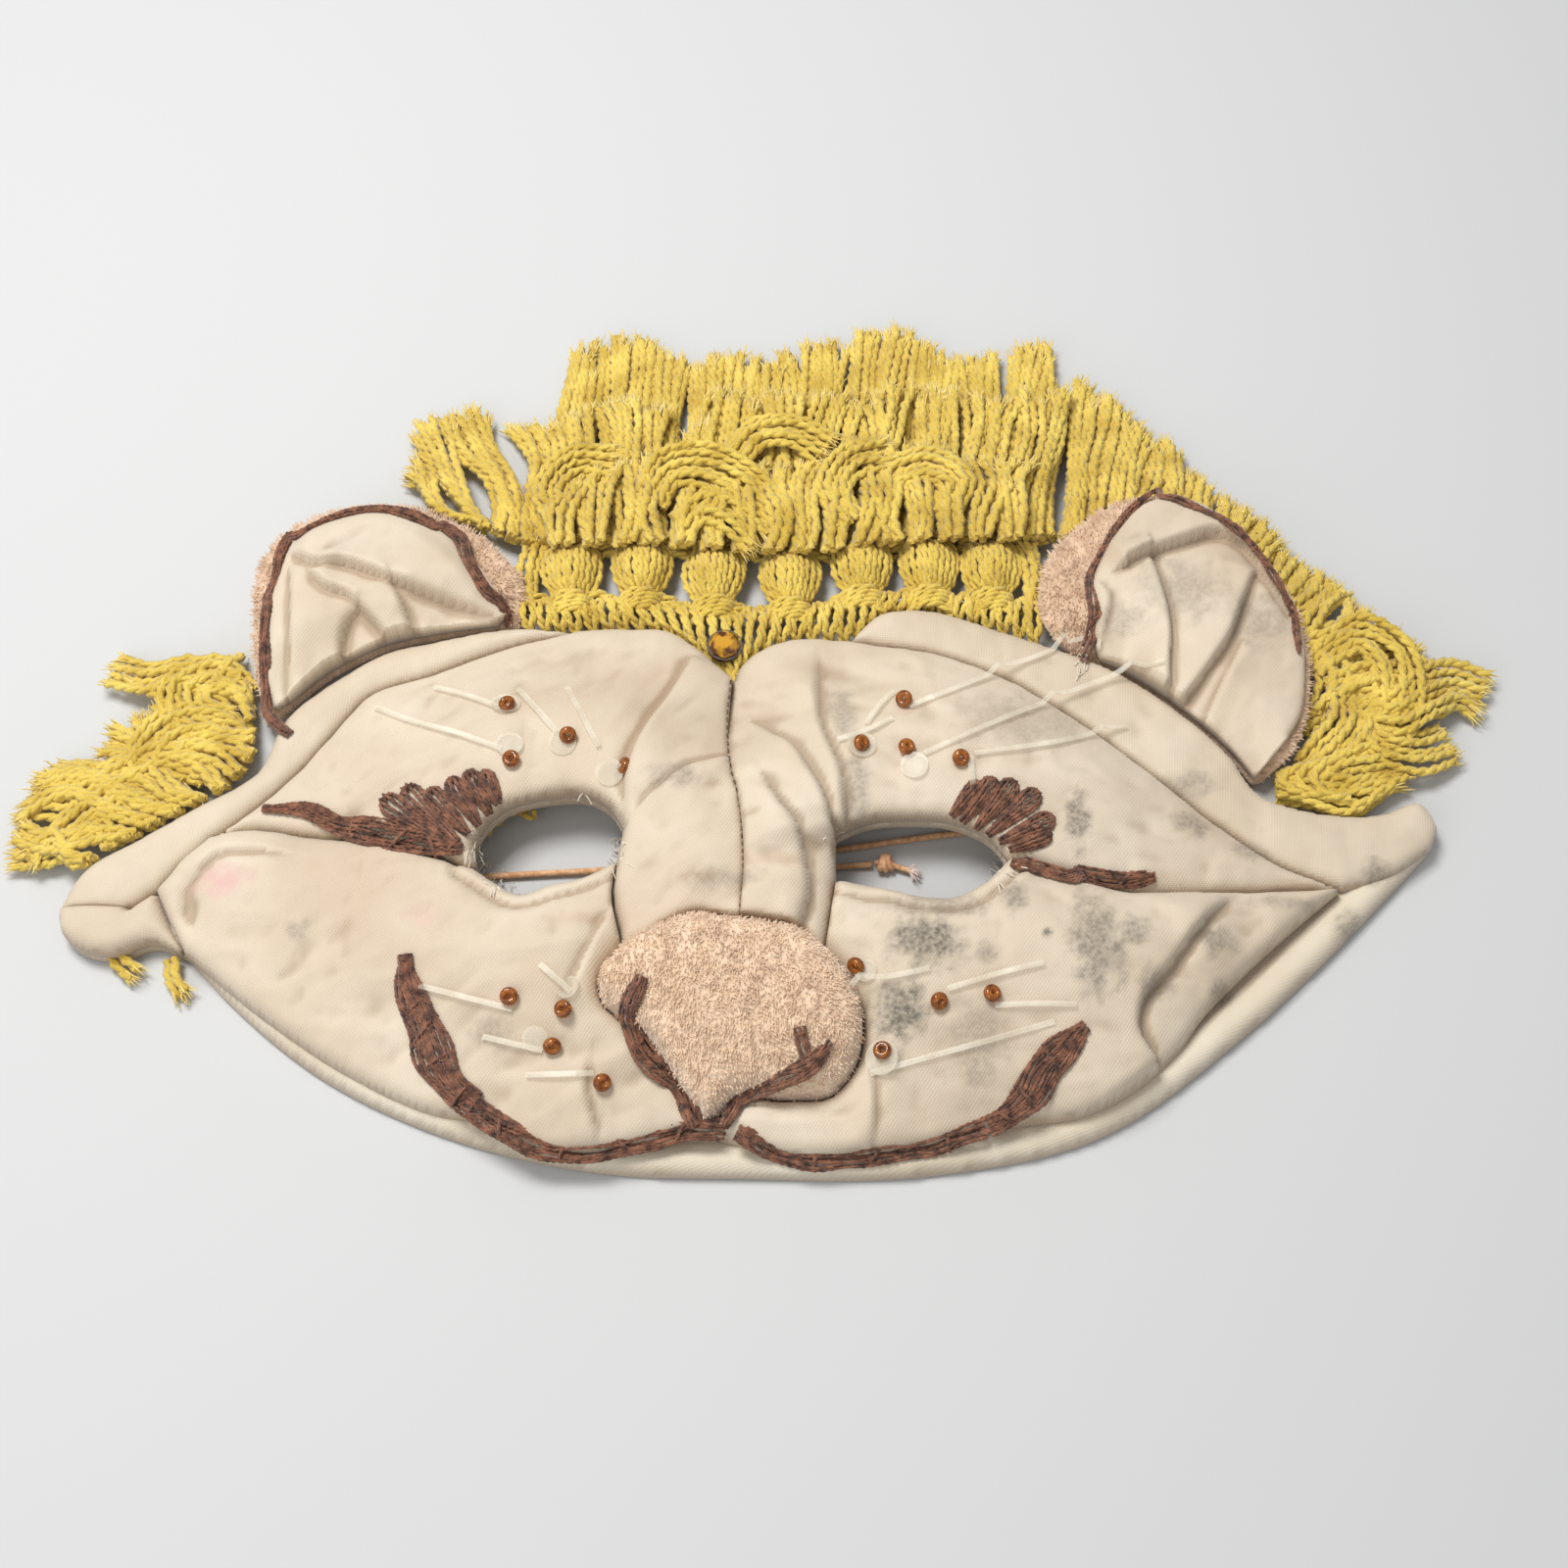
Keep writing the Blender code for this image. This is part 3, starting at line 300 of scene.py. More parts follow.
fray_curve = new_thread("elastic_frayed_end", 0.2, 4)
draw = random.Random(11)
for _ in range(FRAY_STRANDS):
    lean = draw.uniform(-1.25, 1.25)
    climb = draw.uniform(-0.25, 0.8)
    start = FRAY_ROOT + Vector([draw.uniform(-0.3, 0.3) for _ in range(3)])
    far = Vector((math.cos(lean), math.sin(lean) - 0.25, climb * 0.6)) * draw.uniform(0.9, 1.9)
    end = start + far
    end.z = max(end.z, 0.15)
    add_spline(fray_curve, [start, start.lerp(end, 0.55) + UP * 0.12, end], [1.0, 0.9, 0.4])
fray_piece = bpy.data.objects.new("elastic_frayed_end", fray_curve)
link_piece(fray_piece, frayed_finish)

elastic_long = sum((b - a).length for a, b in zip(elastic_line, elastic_line[1:])) * MM
tuple(place(ELASTIC_ROUTE[0]))

# Backing: one padded cloth shape under the whole face, flat on the table round its rim and
# arched under the nose. Its rolled rim shows below the mouth, and both eyes are cut through.
CROWN_RISE = 7.0
RIM_FLAT = 4.8
RIM_SWEEP = 19.0
BACKING_THICK = 1.9
BACKING_NET = 1.0
EDGE_PULL = 0.3
MERGE_SHARE = 0.05
LAYERS_APART = 50.0
SEAM_STEP = 1.2
SEAMS = {
    "centre": ((-9, 18), (-9.5, 5), (-9, -4), (-7.5, -10.5), (-6.5, -22), (-7, -31)),
    "forehead_left": ((-9, 18), (-14.5, 24), (-20.5, 28), (-27.5, 28.5), (-36.5, 28)),
    "crown_left": ((-36.5, 28), (-49.5, 28.5), (-61, 26), (-69, 24), (-77, 19), (-86.5, 10),
                   (-90, 0.5), (-100, -6.5), (-109, -12.5), (-117, -18), (-120.5, -25)),
    "band_seam_left": ((-36.5, 28), (-48.5, 24.5), (-61.5, 19), (-72.5, 14.5), (-78, 7),
                       (-83.5, -0.5), (-91.5, -8.5), (-96.5, -12.5)),
    "band_tail_left": ((-96.5, -12.5), (-101, -17.5), (-104.5, -22)),
    "band_end_left": ((-104.5, -22), (-108.5, -25)),
    "tab_seam_left": ((-108.5, -25), (-120.5, -25)),
    "tab_edge_left": ((-120.5, -25), (-119.5, -29), (-116, -32), (-110, -33), (-104, -31),
                      (-98.5, -33)),
    "cheek_top_left": ((-96.5, -12.5), (-92, -11.5), (-79, -13), (-62, -17), (-55, -19.5),
                       (-50.5, -21)),
    "eye_top_left": ((-50.5, -21), (-51, -16), (-47.5, -10.5), (-39, -7.5), (-32.5, -7.5),
                     (-29, -9.5), (-26.5, -13.5)),
    "eye_low_left": ((-50.5, -21), (-47, -23.5), (-43, -25.5), (-38.5, -24), (-32.5, -22.5),
                     (-27.5, -19.5)),
    "eye_side_left": ((-26.5, -13.5), (-27.5, -19.5)),
    "bridge_edge_left": ((-27.5, -19.5), (-28, -26), (-26, -35.5)),
    "nose_top_left": ((-26, -35.5), (-22.5, -33.5), (-15.5, -30.5), (-7, -31)),
    "nose_top_right": ((-7, -31), (-1.5, -32), (3, -33), (6.5, -36)),
    "nose_low_left": ((-26, -35.5), (-29.5, -41), (-29, -44), (-25.5, -47), (-21, -51), (-18, -55),
                      (-15.5, -58.5), (-12.5, -62.5)),
    "nose_low_right": ((6.5, -36), (10, -40), (12.5, -47.5), (11.5, -53.5), (7.5, -58),
                       (0.5, -58.5), (-6, -58.5), (-12.5, -62.5)),
    "chin_split": ((-12.5, -62.5), (-10, -64.5)),
    "mouth_left": ((-10, -64.5), (-16.5, -64.5), (-24.5, -66), (-35.5, -67), (-43.5, -65),
                   (-48.5, -62), (-55.5, -60.5), (-69, -54.5), (-85, -44), (-98.5, -33)),
    "cheek_side_left": ((-98.5, -33), (-102, -27), (-104.5, -22)),
    "forehead_right": ((-9, 18), (-7.5, 21), (-1.5, 25.5), (4.5, 26.5), (11.5, 26)),
    "crown_right": ((11.5, 26), (17, 31.5), (22.5, 32.5), (38.5, 28), (46.5, 25), (58, 20),
                    (68.5, 12), (76.5, 3.5), (81, -4), (89, -7), (101.5, -7.5), (108, -5.5),
                    (110.5, -10), (109, -14)),
    "band_seam_right": ((11.5, 26), (28.5, 22.5), (38, 18.5), (48.5, 11), (61, 0.5), (73, -10),
                        (83, -17.5), (93, -21.5)),
    "band_end_right": ((93, -21.5), (101.5, -19), (109, -14)),
    "side_seam_right": ((93, -21.5), (78, -22.5), (64, -24), (56.5, -24.5), (46.5, -22), (37, -19)),
    "eye_top_right": ((37, -19), (35, -16), (27.5, -12), (21, -11.5), (14.5, -12), (8.5, -14.5)),
    "eye_low_right": ((37, -19), (32.5, -23.5), (27.5, -26), (23.5, -26), (16, -24.5), (8.5, -23)),
    "eye_side_right": ((8.5, -14.5), (8.5, -23)),
    "bridge_edge_right": ((8.5, -23), (7.5, -30), (6.5, -36)),
    "mouth_right": ((93, -21.5), (84.5, -28.5), (74, -38), (68.5, -43.5), (63.5, -50), (55.5, -57),
                    (48.5, -60.5), (35.5, -62.5), (23.5, -65.5), (13.5, -67), (3.5, -67.5),
                    (-3, -66.5), (-10, -64.5)),
    "chin_edge": ((-98.5, -33), (-90, -41.5), (-74.5, -53.5), (-57, -62), (-32.5, -68.5),
                  (-6, -69.8), (23.5, -69.3), (51, -63), (73.5, -47.5), (92.5, -30.5), (102, -21),
                  (109, -14)),
}


def seam(name):
    """A named seam as an array of plan points."""
    return flat_line(SEAMS[name], SEAM_STEP)


def anticlockwise(loop):
    x, y = loop[:, 0], loop[:, 1]
    return loop if (x * np.roll(y, -1) - np.roll(x, -1) * y).sum() > 0 else loop[::-1]


def boundary(names):
    """One closed outline, anticlockwise, from seams that follow each other."""
    lines = [seam(name) for name in names]
    ends = lines[1][[0, -1]]
    if np.linalg.norm(ends - lines[0][0], axis=1).min() < 1e-3:
        lines[0] = lines[0][::-1]
    outline = list(lines[0])
    for line in lines[1:]:
        if np.linalg.norm(line[0] - outline[-1]) > 1e-3:
            line = line[::-1]
        outline.extend(line[1:])
    return anticlockwise(np.array(outline[:-1]))


def closed(loop):
    return np.vstack((loop, loop[:1]))


def measure(spots, line):
    """For plan spots and one line: distance, side (left is +1), share along, how far past an
    end, and the nearest point of the line."""
    starts = line[:-1]
    runs = line[1:] - starts
    lengths = np.linalg.norm(runs, axis=1)
    travelled = np.concatenate(([0.0], np.cumsum(lengths)))
    away = spots[:, None, :] - starts[None]
    raw = (away * runs).sum(2) / lengths ** 2
    t = np.clip(raw, 0.0, 1.0)
    feet = starts + runs * t[..., None]
    gaps = np.linalg.norm(spots[:, None, :] - feet, axis=2)
    best = gaps.argmin(1)
    rows = np.arange(len(spots))
    cross = runs[best, 0] * away[rows, best, 1] - runs[best, 1] * away[rows, best, 0]
    share = (travelled[best] + t[rows, best] * lengths[best]) / travelled[-1]
    past = np.where(best == 0, np.maximum(0.0, -raw[rows, best] * lengths[best]), 0.0)
    past = np.where(best == len(runs) - 1,
                    np.maximum(past, (raw[rows, best] - 1.0) * lengths[best]), past)
    return gaps[rows, best], np.where(cross > 0, 1.0, -1.0), share, past, feet[rows, best]


def distance(spots, lines):
    """Distance of each plan spot from the nearest of some lines."""
    return np.min([measure(spots, line)[0] for line in lines], axis=0)


def inside(spots, loop):
    """Whether each plan spot lies inside a closed loop."""
    x, y = spots[:, 0][:, None], spots[:, 1][:, None]
    ax, ay = loop[:, 0], loop[:, 1]
    bx, by = np.roll(ax, -1), np.roll(ay, -1)
    crosses = (ay > y) != (by > y)
    with np.errstate(divide="ignore", invalid="ignore"):
        at = ax + (y - ay) * (bx - ax) / (by - ay)
    return (crosses & (x < at)).sum(1) % 2 == 1


def ease(t):
    t = np.clip(t, 0.0, 1.0)
    return t * t * (3.0 - 2.0 * t)


def roll(gap, radius):
    """Round edge of a stuffed piece: 0 at its seam, 1 from `radius` inward."""
    t = 1.0 - np.clip(gap / radius, 0.0, 1.0)
    return np.sqrt(1.0 - t * t)


CHIN_SIDE = [np.vstack((seam("tab_edge_left"), seam("chin_edge")[1:]))]
CROWN_SIDE = [seam(name)
              for name in ("crown_left", "forehead_left", "forehead_right", "crown_right")]


def hollow(spots):
    """Underside of the backing: flat on the table round the rim, arched under the face."""
    low = distance(spots, CHIN_SIDE)
    high = distance(spots, CROWN_SIDE)
    reach = low * high / np.maximum(low + high, 1e-6)
    t = np.clip((reach - RIM_FLAT) / RIM_SWEEP, 0.0, 1.0)
    return CROWN_RISE * np.where(t < 0.5, 2.0 * t * t, 1.0 - 2.0 * (1.0 - t) ** 2)


def backing_top(spots):
    return hollow(spots) + BACKING_THICK


def noise_at(spots, size, seed, stretch=(1.0, 1.0), turn=0.0):
    """Smooth noise between about -1 and 1 at plan spots, stretched and turned if asked."""
    c, s = math.cos(turn), math.sin(turn)
    u = (spots[:, 0] * c + spots[:, 1] * s) / (size * stretch[0])
    v = (-spots[:, 0] * s + spots[:, 1] * c) / (size * stretch[1])
    return np.array([noise.noise((a, b, seed)) for a, b in zip(u, v)])


def cut_cloth(outline, net, holes=()):
    """A fine net of faces cut to an outline: trimmed, with its outer corners drawn to the edge."""
    low, high = outline.min(0) - net, outline.max(0) + net
    columns, rows = (int(n) + 1 for n in (high - low) / net)
    bm = bmesh.new()
    bmesh.ops.create_grid(bm, x_segments=columns, y_segments=rows, size=0.5)
    bmesh.ops.scale(bm, vec=(columns * net, rows * net, 1.0), verts=bm.verts)
    middle = (low + high) / 2
    bmesh.ops.translate(bm, vec=(middle[0], middle[1], 0.0), verts=bm.verts)
    spots = plan_of(bm)
    held = inside(spots, outline)
    for hole in holes:
        held &= ~inside(spots, hole)
    best = np.full(len(spots), np.inf)
    feet = np.zeros_like(spots)
    for wall in [closed(loop) for loop in (outline, *holes)]:
        gap, _, _, _, foot = measure(spots, wall)
        closer = gap < best
        best[closer] = gap[closer]
        feet[closer] = foot[closer]
    deep = held & (best >= EDGE_PULL * net)
    bm.verts.ensure_lookup_table()
    lost = [f for f in bm.faces if not any(deep[v.index] for v in f.verts)]
    for index in np.nonzero(~deep)[0]:
        bm.verts[index].co.xy = feet[index]
    bmesh.ops.delete(bm, geom=lost, context="FACES")
    bmesh.ops.remove_doubles(bm, verts=bm.verts, dist=net * MERGE_SHARE)
    return bm


def plan_of(bm):
    return np.array([(v.co.x, v.co.y) for v in bm.verts])


def set_heights(verts, heights):
    for vert, z in zip(verts, heights):
        vert.co.z = z


surfaces = {}


def new_piece(name, bm, smooth=True):
    """Finish a mesh drawn in the mask's plan: note its surface, then bring it to the frame."""
    bmesh.ops.recalc_face_normals(bm, faces=bm.faces)
    surfaces[name] = BVHTree.FromBMesh(bm)
    bmesh.ops.translate(bm, vec=-PLAN_CENTRE, verts=bm.verts)
    bmesh.ops.scale(bm, vec=(MM, MM, MM), verts=bm.verts)
    for face in bm.faces:
        face.smooth = smooth
    mesh = bpy.data.meshes.new(name)
    bm.to_mesh(mesh)
    bm.free()
    return bpy.data.objects.new(name, mesh)


def relax(bm, values, rounds):
    """Mean of a value over each corner's neighbours, taken several times."""
    links = np.array([(e.verts[0].index, e.verts[1].index) for e in bm.edges])
    count = np.bincount(links.ravel(), minlength=len(values)).astype(float)
    for _ in range(rounds):
        total = (np.bincount(links[:, 0], values[links[:, 1]], len(values))
                 + np.bincount(links[:, 1], values[links[:, 0]], len(values)))
        values = 0.4 * values + 0.6 * total / np.maximum(count, 1.0)
    return values


# Wear and brown marks. Columns: pixel x, pixel y, half width and half height in pixels, strength
GREY_MARKS = ((945, 962, 34, 26, 0.75), (919, 1030, 26, 26, 0.8), (1118, 962, 26, 46, 0.55),
              (1155, 949, 18, 14, 0.5), (1005, 974, 12, 9, 0.5), (1068, 956, 5, 5, 1.0),
              (1034, 917, 12, 14, 0.6), (1101, 833, 12, 28, 0.65), (1222, 826, 22, 12, 0.5),
              (1222, 778, 24, 12, 0.4), (1283, 850, 22, 10, 0.35), (1418, 866, 14, 10, 0.5),
              (1392, 918, 14, 12, 0.55), (1257, 993, 14, 8, 0.5), (1246, 950, 20, 14, 0.5),
              (1180, 1000, 20, 16, 0.35), (1000, 1060, 30, 40, 0.3), (905, 1075, 18, 20, 0.3),
              (960, 925, 50, 12, 0.4), (1210, 590, 40, 30, 0.3), (1290, 620, 30, 25, 0.3),
              (875, 800, 12, 40, 0.4), (500, 1050, 20, 14, 0.3), (690, 800, 26, 14, 0.35),
              (300, 940, 14, 10, 0.3), (1045, 730, 60, 30, 0.25), (1150, 620, 20, 14, 0.3),
              (1310, 905, 40, 6, 0.35), (735, 905, 40, 10, 0.3), (860, 720, 14, 30, 0.35))
PINK_MARKS = ((220, 886, 26, 14, 0.8), (462, 800, 16, 10, 0.8), (430, 936, 18, 12, 0.3))
# Brown patches: the cloth is tinted brown round these pixels.
BROWN_MARKS = ((723, 903, 26, 5, 0.6), (800, 889, 26, 5, 0.6), (590, 940, 30, 6, 0.35),
               (850, 905, 6, 10, 0.5), (880, 765, 14, 10, 0.5), (925, 765, 12, 9, 0.5),
               (980, 778, 10, 9, 0.5), (925, 716, 10, 8, 0.4))
MARK_HEIGHT = 14.0
BROAD_ROUNDS = 14


def marks_at(spots, marks, seed):
    """How strongly each plan spot is marked: soft blots with ragged, speckled edges."""
    total = np.zeros(len(spots))
    ragged = noise_at(spots, 2.2, seed) + 0.6 * noise_at(spots, 0.9, seed + 3.0)
    for px, py, wide, high, strength in marks:
        middle = on_photo(px, py, MARK_HEIGHT)
        right = on_photo(px + wide, py, MARK_HEIGHT)
        above = on_photo(px, py - high, MARK_HEIGHT)
        u = (spots[:, 0] - middle.x) / (right.x - middle.x)
        v = (spots[:, 1] - middle.y) / (above.y - middle.y)
        total = np.maximum(total, strength * ease(1.25 - np.hypot(u, v) * 0.8 + 0.5 * ragged))
    return total


def mark_cloth(bm, heights):
    """Write what a cloth piece's material reads: marks, and painted shade in its folds."""
    spots = plan_of(bm)
    # How far each spot lies below its neighbours sets the painted shade in the folds.
    depth = relax(bm, heights, BROAD_ROUNDS) - heights
    layers = {"soil": marks_at(spots, GREY_MARKS, 5.0), "blush": marks_at(spots, PINK_MARKS, 9.0),
              "brown_tint": marks_at(spots, BROWN_MARKS, 2.0),
              "painted_crease_shade": np.clip(depth * 4.5 - 0.1, 0.0, 1.0)}
    for name, values in layers.items():
        layer = bm.verts.layers.float.new(name)
        for vert, value in zip(bm.verts, values):
            vert[layer] = float(value)


# Columns: the mark's layer, its tone, how much of it shows
# The first row paints shade into the folds, darker the deeper the fold.
MARK_TONES = (("painted_crease_shade", (0.36, 0.24, 0.14), 0.62), ("brown_tint", (0.42, 0.22, 0.10), 0.6),
              ("blush", (0.78, 0.36, 0.38), 0.6), ("soil", (0.13, 0.112, 0.082), 1.1))
WEAVE = 0.46
SOIL_GRAIN = 0.8


def cloth_material(name, dark, light, turn=0.6):
    """Beige sateen: two crossed sets of threads, wandering colour, painted fold shade and marks."""
    made = new_material(name, light, 0.62, 0.25)
    mottle(made, dark, light, 22.0, 0.3, 0.7)
    colour = shader_of(made).inputs["Base Color"].links[0].from_socket
    for layer, tone, share in MARK_TONES:
        read = add_node(made, "Attribute", attribute_name=layer)
        strength = add_node(made, "Math", {1: share}, {0: read.outputs["Fac"]},
                            operation="MULTIPLY", use_clamp=True)
        if layer == "soil":
            spread = add_node(made, "MapRange", {"From Min": 0.36, "From Max": 0.64,
                                                 "To Min": 0.6, "To Max": 1.15},
                              {"Value": grain(made, SOIL_GRAIN, 5.0)})
            strength = add_node(made, "Math", (), {0: strength.outputs[0],
                                                   1: spread.outputs["Result"]},
                                operation="MULTIPLY", use_clamp=True)
        mix = add_node(made, "Mix", {"B": (*tone, 1.0)},
                       {"Factor": strength.outputs[0], "A": colour}, data_type="RGBA")
        colour = mix.outputs["Result"]
    turned = add_node(made, "Mapping", {"Rotation": (0.0, 0.0, turn)},
                      {"Vector": add_node(made, "TexCoord").outputs["Object"]})
    waves = [add_node(made, "TexWave", {"Scale": math.tau / 20.0 / (period * MM),
                                        "Distortion": 1.2, "Detail": 1.0, "Detail Scale": 2.0},
                      {"Vector": turned.outputs["Vector"]}, bands_direction=direction)
             for direction, period in (("X", WEAVE), ("Y", WEAVE * 0.8))]
    crossed = add_node(made, "Math", (), {k: wave.outputs["Fac"] for k, wave in enumerate(waves)},
                       operation="MULTIPLY")
    shade = add_node(made, "Mix", {"Factor": 0.16}, {"A": colour, "B": crossed.outputs[0]},
                     data_type="RGBA", blend_type="MULTIPLY")
    shade_by(made, "Base Color", shade.outputs["Result"])
    dent(made, crossed.outputs[0], 0.35, 0.12)
    return made


face_cloth = cloth_material("sateen_face", (0.66, 0.52, 0.37), (0.80, 0.68, 0.52))
band_cloth = cloth_material("sateen_band", (0.64, 0.51, 0.36), (0.78, 0.66, 0.50), turn=0.1)
# The backing's sateen is a lighter copy of the face's: a painted highlight on its rolled rim.
rim_cloth_painted_highlight = cloth_material("sateen_rim_painted_highlight", (0.72, 0.60, 0.44), (0.88, 0.79, 0.63), turn=1.2)

rim_line = boundary(("crown_left", "forehead_left", "forehead_right", "crown_right", "chin_edge",
                     "tab_edge_left"))
eye_lines = [boundary(("eye_top_left", "eye_side_left", "eye_low_left")),
             boundary(("eye_top_right", "eye_side_right", "eye_low_right"))]
backing_bm = cut_cloth(rim_line, BACKING_NET, eye_lines)
spots = plan_of(backing_bm)
under = hollow(spots)
edge_gap = distance(spots, [closed(loop) for loop in (rim_line, *eye_lines)])
chin_gap = distance(spots, CHIN_SIDE)
rim_puff = 1.5 * roll(chin_gap, 2.4) * (1.0 - ease((chin_gap - 3.0) / 4.0))
heights = under + 0.55 + (BACKING_THICK - 0.55) * roll(edge_gap, 2.0) + rim_puff
mark_cloth(backing_bm, heights)
low_layer = backing_bm.verts.layers.float.new("under")
high_layer = backing_bm.verts.layers.float.new("over")
for vert, low, high in zip(backing_bm.verts, under, heights):
    vert[low_layer], vert[high_layer] = low, high
raised = bmesh.ops.extrude_face_region(backing_bm, geom=backing_bm.faces[:], use_keep_orig=True)
bmesh.ops.translate(backing_bm, vec=UP * LAYERS_APART,
                    verts=[v for v in raised["geom"] if isinstance(v, bmesh.types.BMVert)])
for vert in backing_bm.verts:
    vert.co.z = vert[high_layer] if vert.co.z > LAYERS_APART / 2 else vert[low_layer]
backing_piece = link_piece(new_piece("padded_backing", backing_bm), rim_cloth_painted_highlight)
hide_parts("backing")

# Face: two front panels joined down the nose bridge, two cheeks, two bias bands round the
# crown and a folded tab. Each is sateen over wadding, rolled in at its seams and creased.
SEAT = 0.6
PAD_EDGE = 1.5
BROW_LOFT = 3.0
CHEEK_LOFT = 4.2
BAND_LOFT = 1.9
TAB_LOFT = 2.5
SEAM_ROLL = 2.0
PAD_ROLL = 9.0
BRIDGE_RISE = 3.6
BRIDGE_HALF_WIDTH = 15.0
FACE_NET = 0.6
# Columns: boundary, seams met flush, loft, finish, puckers along the seams in mm
PADS = {
    "face_left": (("centre", "forehead_left", "band_seam_left", "cheek_top_left", "eye_top_left",
                   "eye_side_left", "bridge_edge_left", "nose_top_left"),
                  ("centre", "nose_top_left"), BROW_LOFT, face_cloth, 0.34),
    "face_right": (("centre", "nose_top_right", "bridge_edge_right", "eye_side_right",
                    "eye_top_right", "side_seam_right", "band_seam_right", "forehead_right"),
                   ("centre", "nose_top_right"), BROW_LOFT, face_cloth, 0.34),
    "cheek_left": (("cheek_top_left", "eye_low_left", "bridge_edge_left", "nose_low_left",
                    "chin_split", "mouth_left", "cheek_side_left", "band_tail_left"),
                   ("bridge_edge_left", "chin_split"), CHEEK_LOFT, face_cloth, 0.30),
    "cheek_right": (("mouth_right", "side_seam_right", "eye_low_right", "bridge_edge_right",
                     "nose_low_right", "chin_split"), ("bridge_edge_right", "chin_split"),
                    CHEEK_LOFT, face_cloth, 0.30),
    "brow_band_left": (("crown_left", "tab_seam_left", "band_end_left", "band_tail_left",
                        "band_seam_left"), ("tab_seam_left",), BAND_LOFT, band_cloth, 0.2),
    "brow_band_right": (("crown_right", "band_end_right", "band_seam_right"), (), BAND_LOFT,
                        band_cloth, 0.2),
    "side_tab_left": (("tab_edge_left", "cheek_side_left", "band_end_left", "tab_seam_left"),
                      ("tab_seam_left",), TAB_LOFT, band_cloth, 0.2),
}
FOLD_WALL = 1.4
# Folds. Columns: pad, height of the raised side, how far it reaches, points from the deep end.
# The raised side lies to the left of the line's direction
FOLDS = (
    ("face_left", 3.2, 13.0, ((-16.5, 19.5), (-20, 11.5), (-23, 5), (-25, 0), (-26.3, -6.5),
                              (-26, -13.5))),
    ("face_right", 3.2, 12.0, ((8, -15), (6.5, -10), (4, -5), (1.5, -0.5), (-1.5, 3), (-4.5, 6.5))),
    ("face_left", 1.7, 9.0, ((-10, -2.5), (-16, -5), (-21, -9), (-25, -12.5))),
    ("face_right", 2.0, 9.0, ((2.5, -33), (4, -26.5), (3.5, -22.5), (2, -16.5), (-1.5, -11.5),
                              (-4.5, -5))),
    ("cheek_right", 3.0, 14.0, ((59, -52), (56.5, -48), (57.5, -43), (61, -39), (66.5, -32),
                                (71.5, -26.5), (76, -23))),
    ("cheek_left", 1.2, 8.0, ((-27.5, -28.5), (-31.5, -37), (-34, -43), (-35.5, -48.5))),
    ("cheek_right", 1.1, 6.0, ((13.8, -66.5), (14.3, -60), (13.2, -52))),
    ("cheek_left", 0.9, 6.0, ((-29.5, -64), (-31, -58), (-30.5, -52))),
    ("cheek_left", 1.0, 8.0, ((-97, -20.5), (-93.5, -17), (-88, -16.5), (-80, -18))),
    ("face_right", 1.9, 7.0, ((10, -12), (9.5, -5), (6.5, 4), (5.5, 22.5))),
    ("ear_left_front", 3.0, 12.0, ((-86.5, 40.3), (-82.3, 37.7), (-76.5, 37.1), (-69.5, 34.6),
                                   (-62.1, 32.4), (-53.7, 30.4), (-49, 29.6))),
    ("ear_left_front", 2.6, 8.0, ((-82, 34.8), (-80.3, 33), (-76.6, 31.8), (-73.2, 28.8),
                                  (-69.8, 25.3), (-67.5, 22.3))),
    ("ear_left_front", 1.8, 6.0, ((-64, 23.3), (-66.6, 30), (-68.5, 34))),
    ("ear_left_front", 2.2, 7.0, ((-76, 17.5), (-77, 21.8), (-76.8, 25.3), (-75, 29))),
    ("ear_left_front", 1.6, 7.0, ((-87, 36.5), (-86.3, 30.8), (-85.6, 22), (-85.7, 15))),
    ("ear_right_front", 3.0, 10.0, ((60.4, 38.1), (64.8, 40.5), (71.4, 43), (77, 44.6), (80.7, 43),
                                    (84.3, 36.9), (87.9, 29.4))),
    ("ear_right_front", 2.6, 8.0, ((66.2, 12.5), (66.5, 17.9), (67, 25.7), (66.3, 33.2),
                                   (64.8, 40.5))),
    ("ear_right_front", 2.8, 9.0, ((68.5, 12), (72.5, 16.7), (77.2, 23.3), (79.4, 28.5),
                                   (82.5, 35.9))),
    ("ear_right_front", 1.0, 3.0, ((54.6, 22.9), (56.2, 26.9), (56.9, 32.4), (55.1, 35.3))),
    ("ear_right_front", 0.9, 5.0, ((78.7, 21.4), (74.2, 12.9), (71.3, 6.6))),
)


def ridge(spots):
    """The nose bridge standing up along the centre seam."""
    across = (spots[:, 0] + 8.5) / BRIDGE_HALF_WIDTH
    return BRIDGE_RISE * np.exp(-across * across) * ease((14.0 - spots[:, 1]) / 26.0)


def fold_heights(spots, pad):
    """A step on each fold's line that is rolled over at its lip and dies away behind it."""
    total = np.zeros(len(spots))
    for owner, rise, reach, points in FOLDS:
        if owner != pad:
            continue
        gap, side, share, past, _ = measure(spots, flat_line(points, 1.5))
        offset = gap * side
        lip = 0.5 + 0.5 * roll(np.maximum(offset, 0.0), FOLD_WALL)
        step = ease((offset + FOLD_WALL / 2) / FOLD_WALL) * lip
        behind = np.exp(-(np.maximum(offset, 0.0) / reach) ** 2)
        least = 0.6 if pad.startswith("ear") else 0.15
        fade = least + (1.0 - least) * ease((1.0 - share) / 0.35)
        ditch = 0.35 * np.exp(-(np.minimum(offset, 0.0) / 1.6) ** 2) * (offset < 0)
        beyond = np.exp(-(past / 2.0) ** 2)
        total += (rise * step * behind - ditch * rise * 0.7) * fade * beyond
    return total


